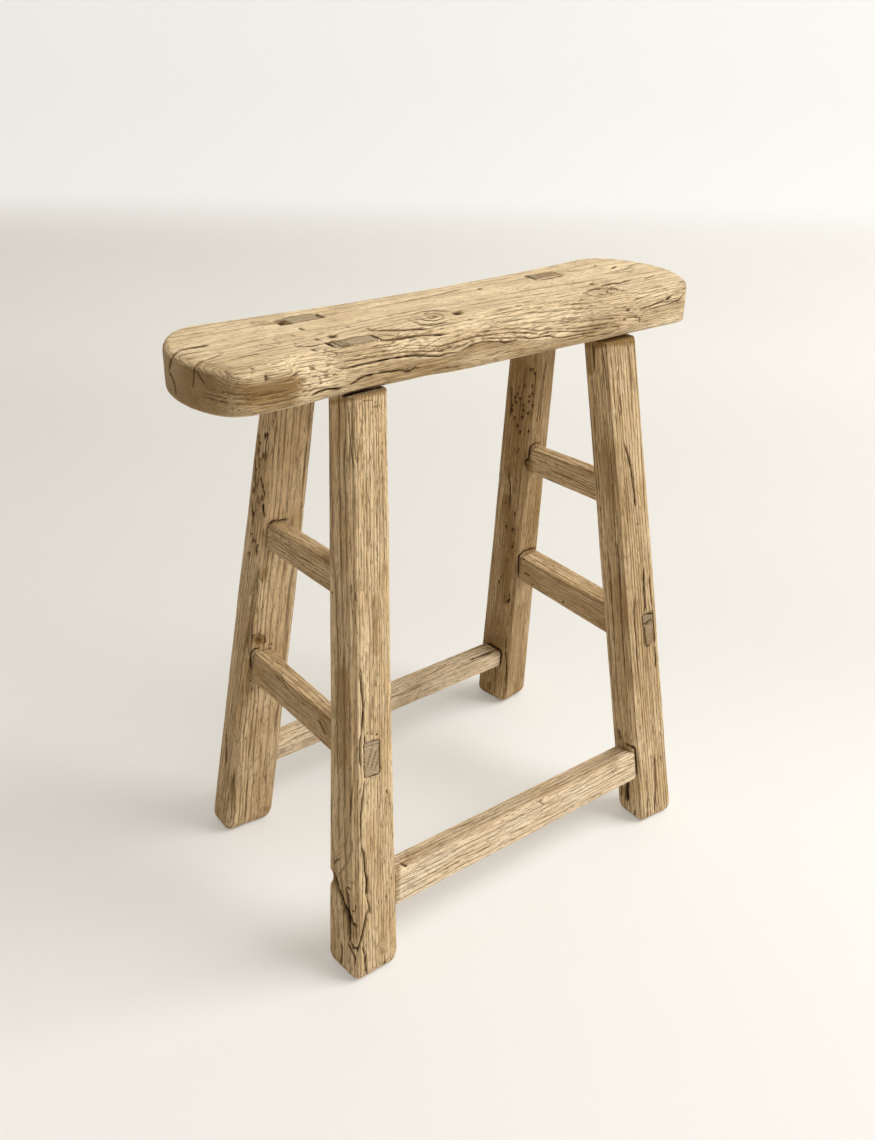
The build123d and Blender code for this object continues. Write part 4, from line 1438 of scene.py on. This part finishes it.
    def build(self) -> list[bpy.types.Object]:
        """Builds every piece in order.

        Returns:
            The finished pieces.
        """
        finishes = {elm.name: elm.material() for elm in (self.body, self.dry, self.fair, self.seat, self.end)}
        timbers = [self.plank(), *self.legs(), *self.rails(), *self.wedges()]
        return [timber.build(finishes) for timber in timbers]


@dataclass
class Studio:
    """Pale floor that runs up into a wall, with painted light glowing on it for the camera, a large soft lamp
    from the right and a warm fill, in metres.
    """

    floor_color: Color = (0.84, 0.835, 0.82, 1.0)
    # Colours of the painted light on the floor: dim at the back, bright in front, and on the wall; glow_share
    # is how much of the floor's look it takes
    back_glow: Color = (0.58, 0.57, 0.53, 1.0)
    front_glow: Color = (1.08, 1.06, 1.02, 1.0)
    wall_glow: Color = (0.96, 0.96, 0.93, 1.0)
    glow_share: float = 0.32
    floor_size: Triple = (14.0, 8.0, 1.0)
    floor_shift: float = -1.25
    wall_line: float = 2.6
    wall_high: float = 5.0
    bend: float = 0.4
    bend_steps: int = 12
    lamp_place: Triple = (2.35, -1.85, 3.15)
    lamp_size: float = 2.9
    lamp_power: float = 198.0
    lamp_color: Triple = (1.0, 1.0, 0.98)
    lamp_aim: float = 0.2
    fill: Color = (1.0, 0.86, 0.68, 1.0)
    fill_strength: float = 0.40

    def select(self, sheet: bpy.types.Object, low: float) -> None:
        """Selects the edges of the sheet that lie at the wall's line, up to a height.

        Args:
            sheet: The sheet, in object mode.
            low: Greatest height of the edges' ends.
        """
        bpy.ops.object.mode_set(mode="EDIT")
        bpy.ops.mesh.select_all(action="DESELECT")
        bpy.ops.object.mode_set(mode="OBJECT")
        for edge in sheet.data.edges:
            ends = [sheet.data.vertices[index].co for index in edge.vertices]
            edge.select = all(end.y > self.wall_line and end.z < low for end in ends)
        bpy.ops.object.mode_set(mode="EDIT")

    def sheet(self) -> bpy.types.Object:
        """Makes the floor, a wide bend and a wall across the line of sight.

        Returns:
            The sheet, without material.
        """
        bpy.ops.object.select_all(action="DESELECT")
        bpy.ops.mesh.primitive_plane_add(size=1.0)
        sheet = bpy.context.object
        sheet.name = "floor_sheet"
        bpy.ops.transform.resize(value=self.floor_size)
        bpy.ops.transform.translate(value=(0.0, self.floor_shift, 0.0))
        bpy.ops.object.transform_apply(location=True, rotation=True, scale=True)
        sheet.data.update()
        self.select(sheet, self.bend)
        bpy.ops.mesh.select_mode(type="EDGE")
        bpy.ops.mesh.extrude_region_move(TRANSFORM_OT_translate={"value": (0.0, 0.0, self.wall_high)})
        bpy.ops.object.mode_set(mode="OBJECT")
        self.select(sheet, self.bend)
        bpy.ops.mesh.bevel(offset=self.bend, segments=self.bend_steps, affect="EDGES")
        bpy.ops.object.mode_set(mode="OBJECT")
        bpy.ops.object.shade_smooth()
        sheet.rotation_euler[2] = np.radians(VIEW.azimuth)
        bpy.ops.object.transform_apply(location=True, rotation=True, scale=True)
        return sheet

    def paint(self) -> bpy.types.Material:
        """Pale matt paint with painted light: a glow that only the camera sees, dim at the back and bright in
        front and on the wall, which also thins the stool's shadow on the floor.

        Returns:
            The material.
        """
        shader = Shader("pale_paint_painted_light")
        places = shader.node("ShaderNodeTexCoord", {}, {}, "Object")
        mottle = shader.node("ShaderNodeTexNoise", {}, {"Vector": places, "Scale": 1.3, "Detail": 2.0})
        darker = tuple(value * 0.985 for value in self.floor_color[:3]) + (1.0,)
        color = shader.blend(mottle.between(0.35, 0.65), self.floor_color, darker)
        values = {"Base Color": color, "Roughness": 0.8, "Specular IOR Level": 0.2}
        matt = shader.node("ShaderNodeBsdfPrincipled", {}, values)
        seen = shader.node("ShaderNodeLightPath", {}, {}, "Is Camera Ray")
        level = shader.node("ShaderNodeSeparateXYZ", {}, {0: places}, "Z").between(0.0, 0.13)
        toward = tuple(VIEW.axes()[2] * [1.0, 1.0, 0.0] / np.cos(np.radians(VIEW.elevation)))
        values = {0: places, 1: toward}
        near = shader.node("ShaderNodeVectorMath", {"operation": "DOT_PRODUCT"}, values, "Value")
        # Painted light: a ramp from dim at the back to bright in front
        painted_light_ramp = near.between(-0.55, 0.1) + near.between(-1.6, -0.9) * -0.5 + 0.5
        tone = shader.blend(painted_light_ramp.between(0.0, 1.5), self.back_glow, self.front_glow)
        tone = shader.blend(level, tone, self.wall_glow)
        glow = shader.node("ShaderNodeEmission", {}, {"Color": tone, "Strength": 1.0})
        # Painted light: the camera sees this share of the glow over the lit and shaded paint, more on the
        # wall
        share = seen * (level * 0.3 + self.glow_share)
        return shader.finish(shader.node("ShaderNodeMixShader", {}, {0: share, 1: matt, 2: glow}))

    def lights(self) -> None:
        """Sets the soft lamp, aimed a little above the floor, and the world's fill."""
        bpy.ops.object.light_add(type="AREA", location=self.lamp_place)
        lamp = bpy.context.object
        lamp.name = "window_lamp"
        lamp.data.size = self.lamp_size
        lamp.data.energy = self.lamp_power
        lamp.data.color = self.lamp_color
        aim = Matrix.Translation(self.lamp_place).to_translation()
        aim.z -= self.lamp_aim
        lamp.rotation_euler = aim.to_track_quat("Z", "Y").to_euler()
        world = bpy.data.worlds.new("soft_room")
        bpy.context.scene.world = world
        world.use_nodes = True
        background = world.node_tree.nodes["Background"]
        background.inputs["Color"].default_value = self.fill
        background.inputs["Strength"].default_value = self.fill_strength

    def build(self) -> None:
        """Sets the floor, the lights and the plain view."""
        floor = self.sheet()
        floor.data.materials.append(self.paint())
        self.lights()
        bpy.context.scene.view_settings.view_transform = "Standard"


def main() -> None:
    """Builds the stool, the studio and the camera."""
    logging.basicConfig(level=logging.INFO, format="%(message)s")
    for piece in Stool().build():
        LOG.info("%s: %d faces", piece.name, len(piece.data.polygons))
    Studio().build()
    VIEW.build()


if __name__ == "__main__":
    main()
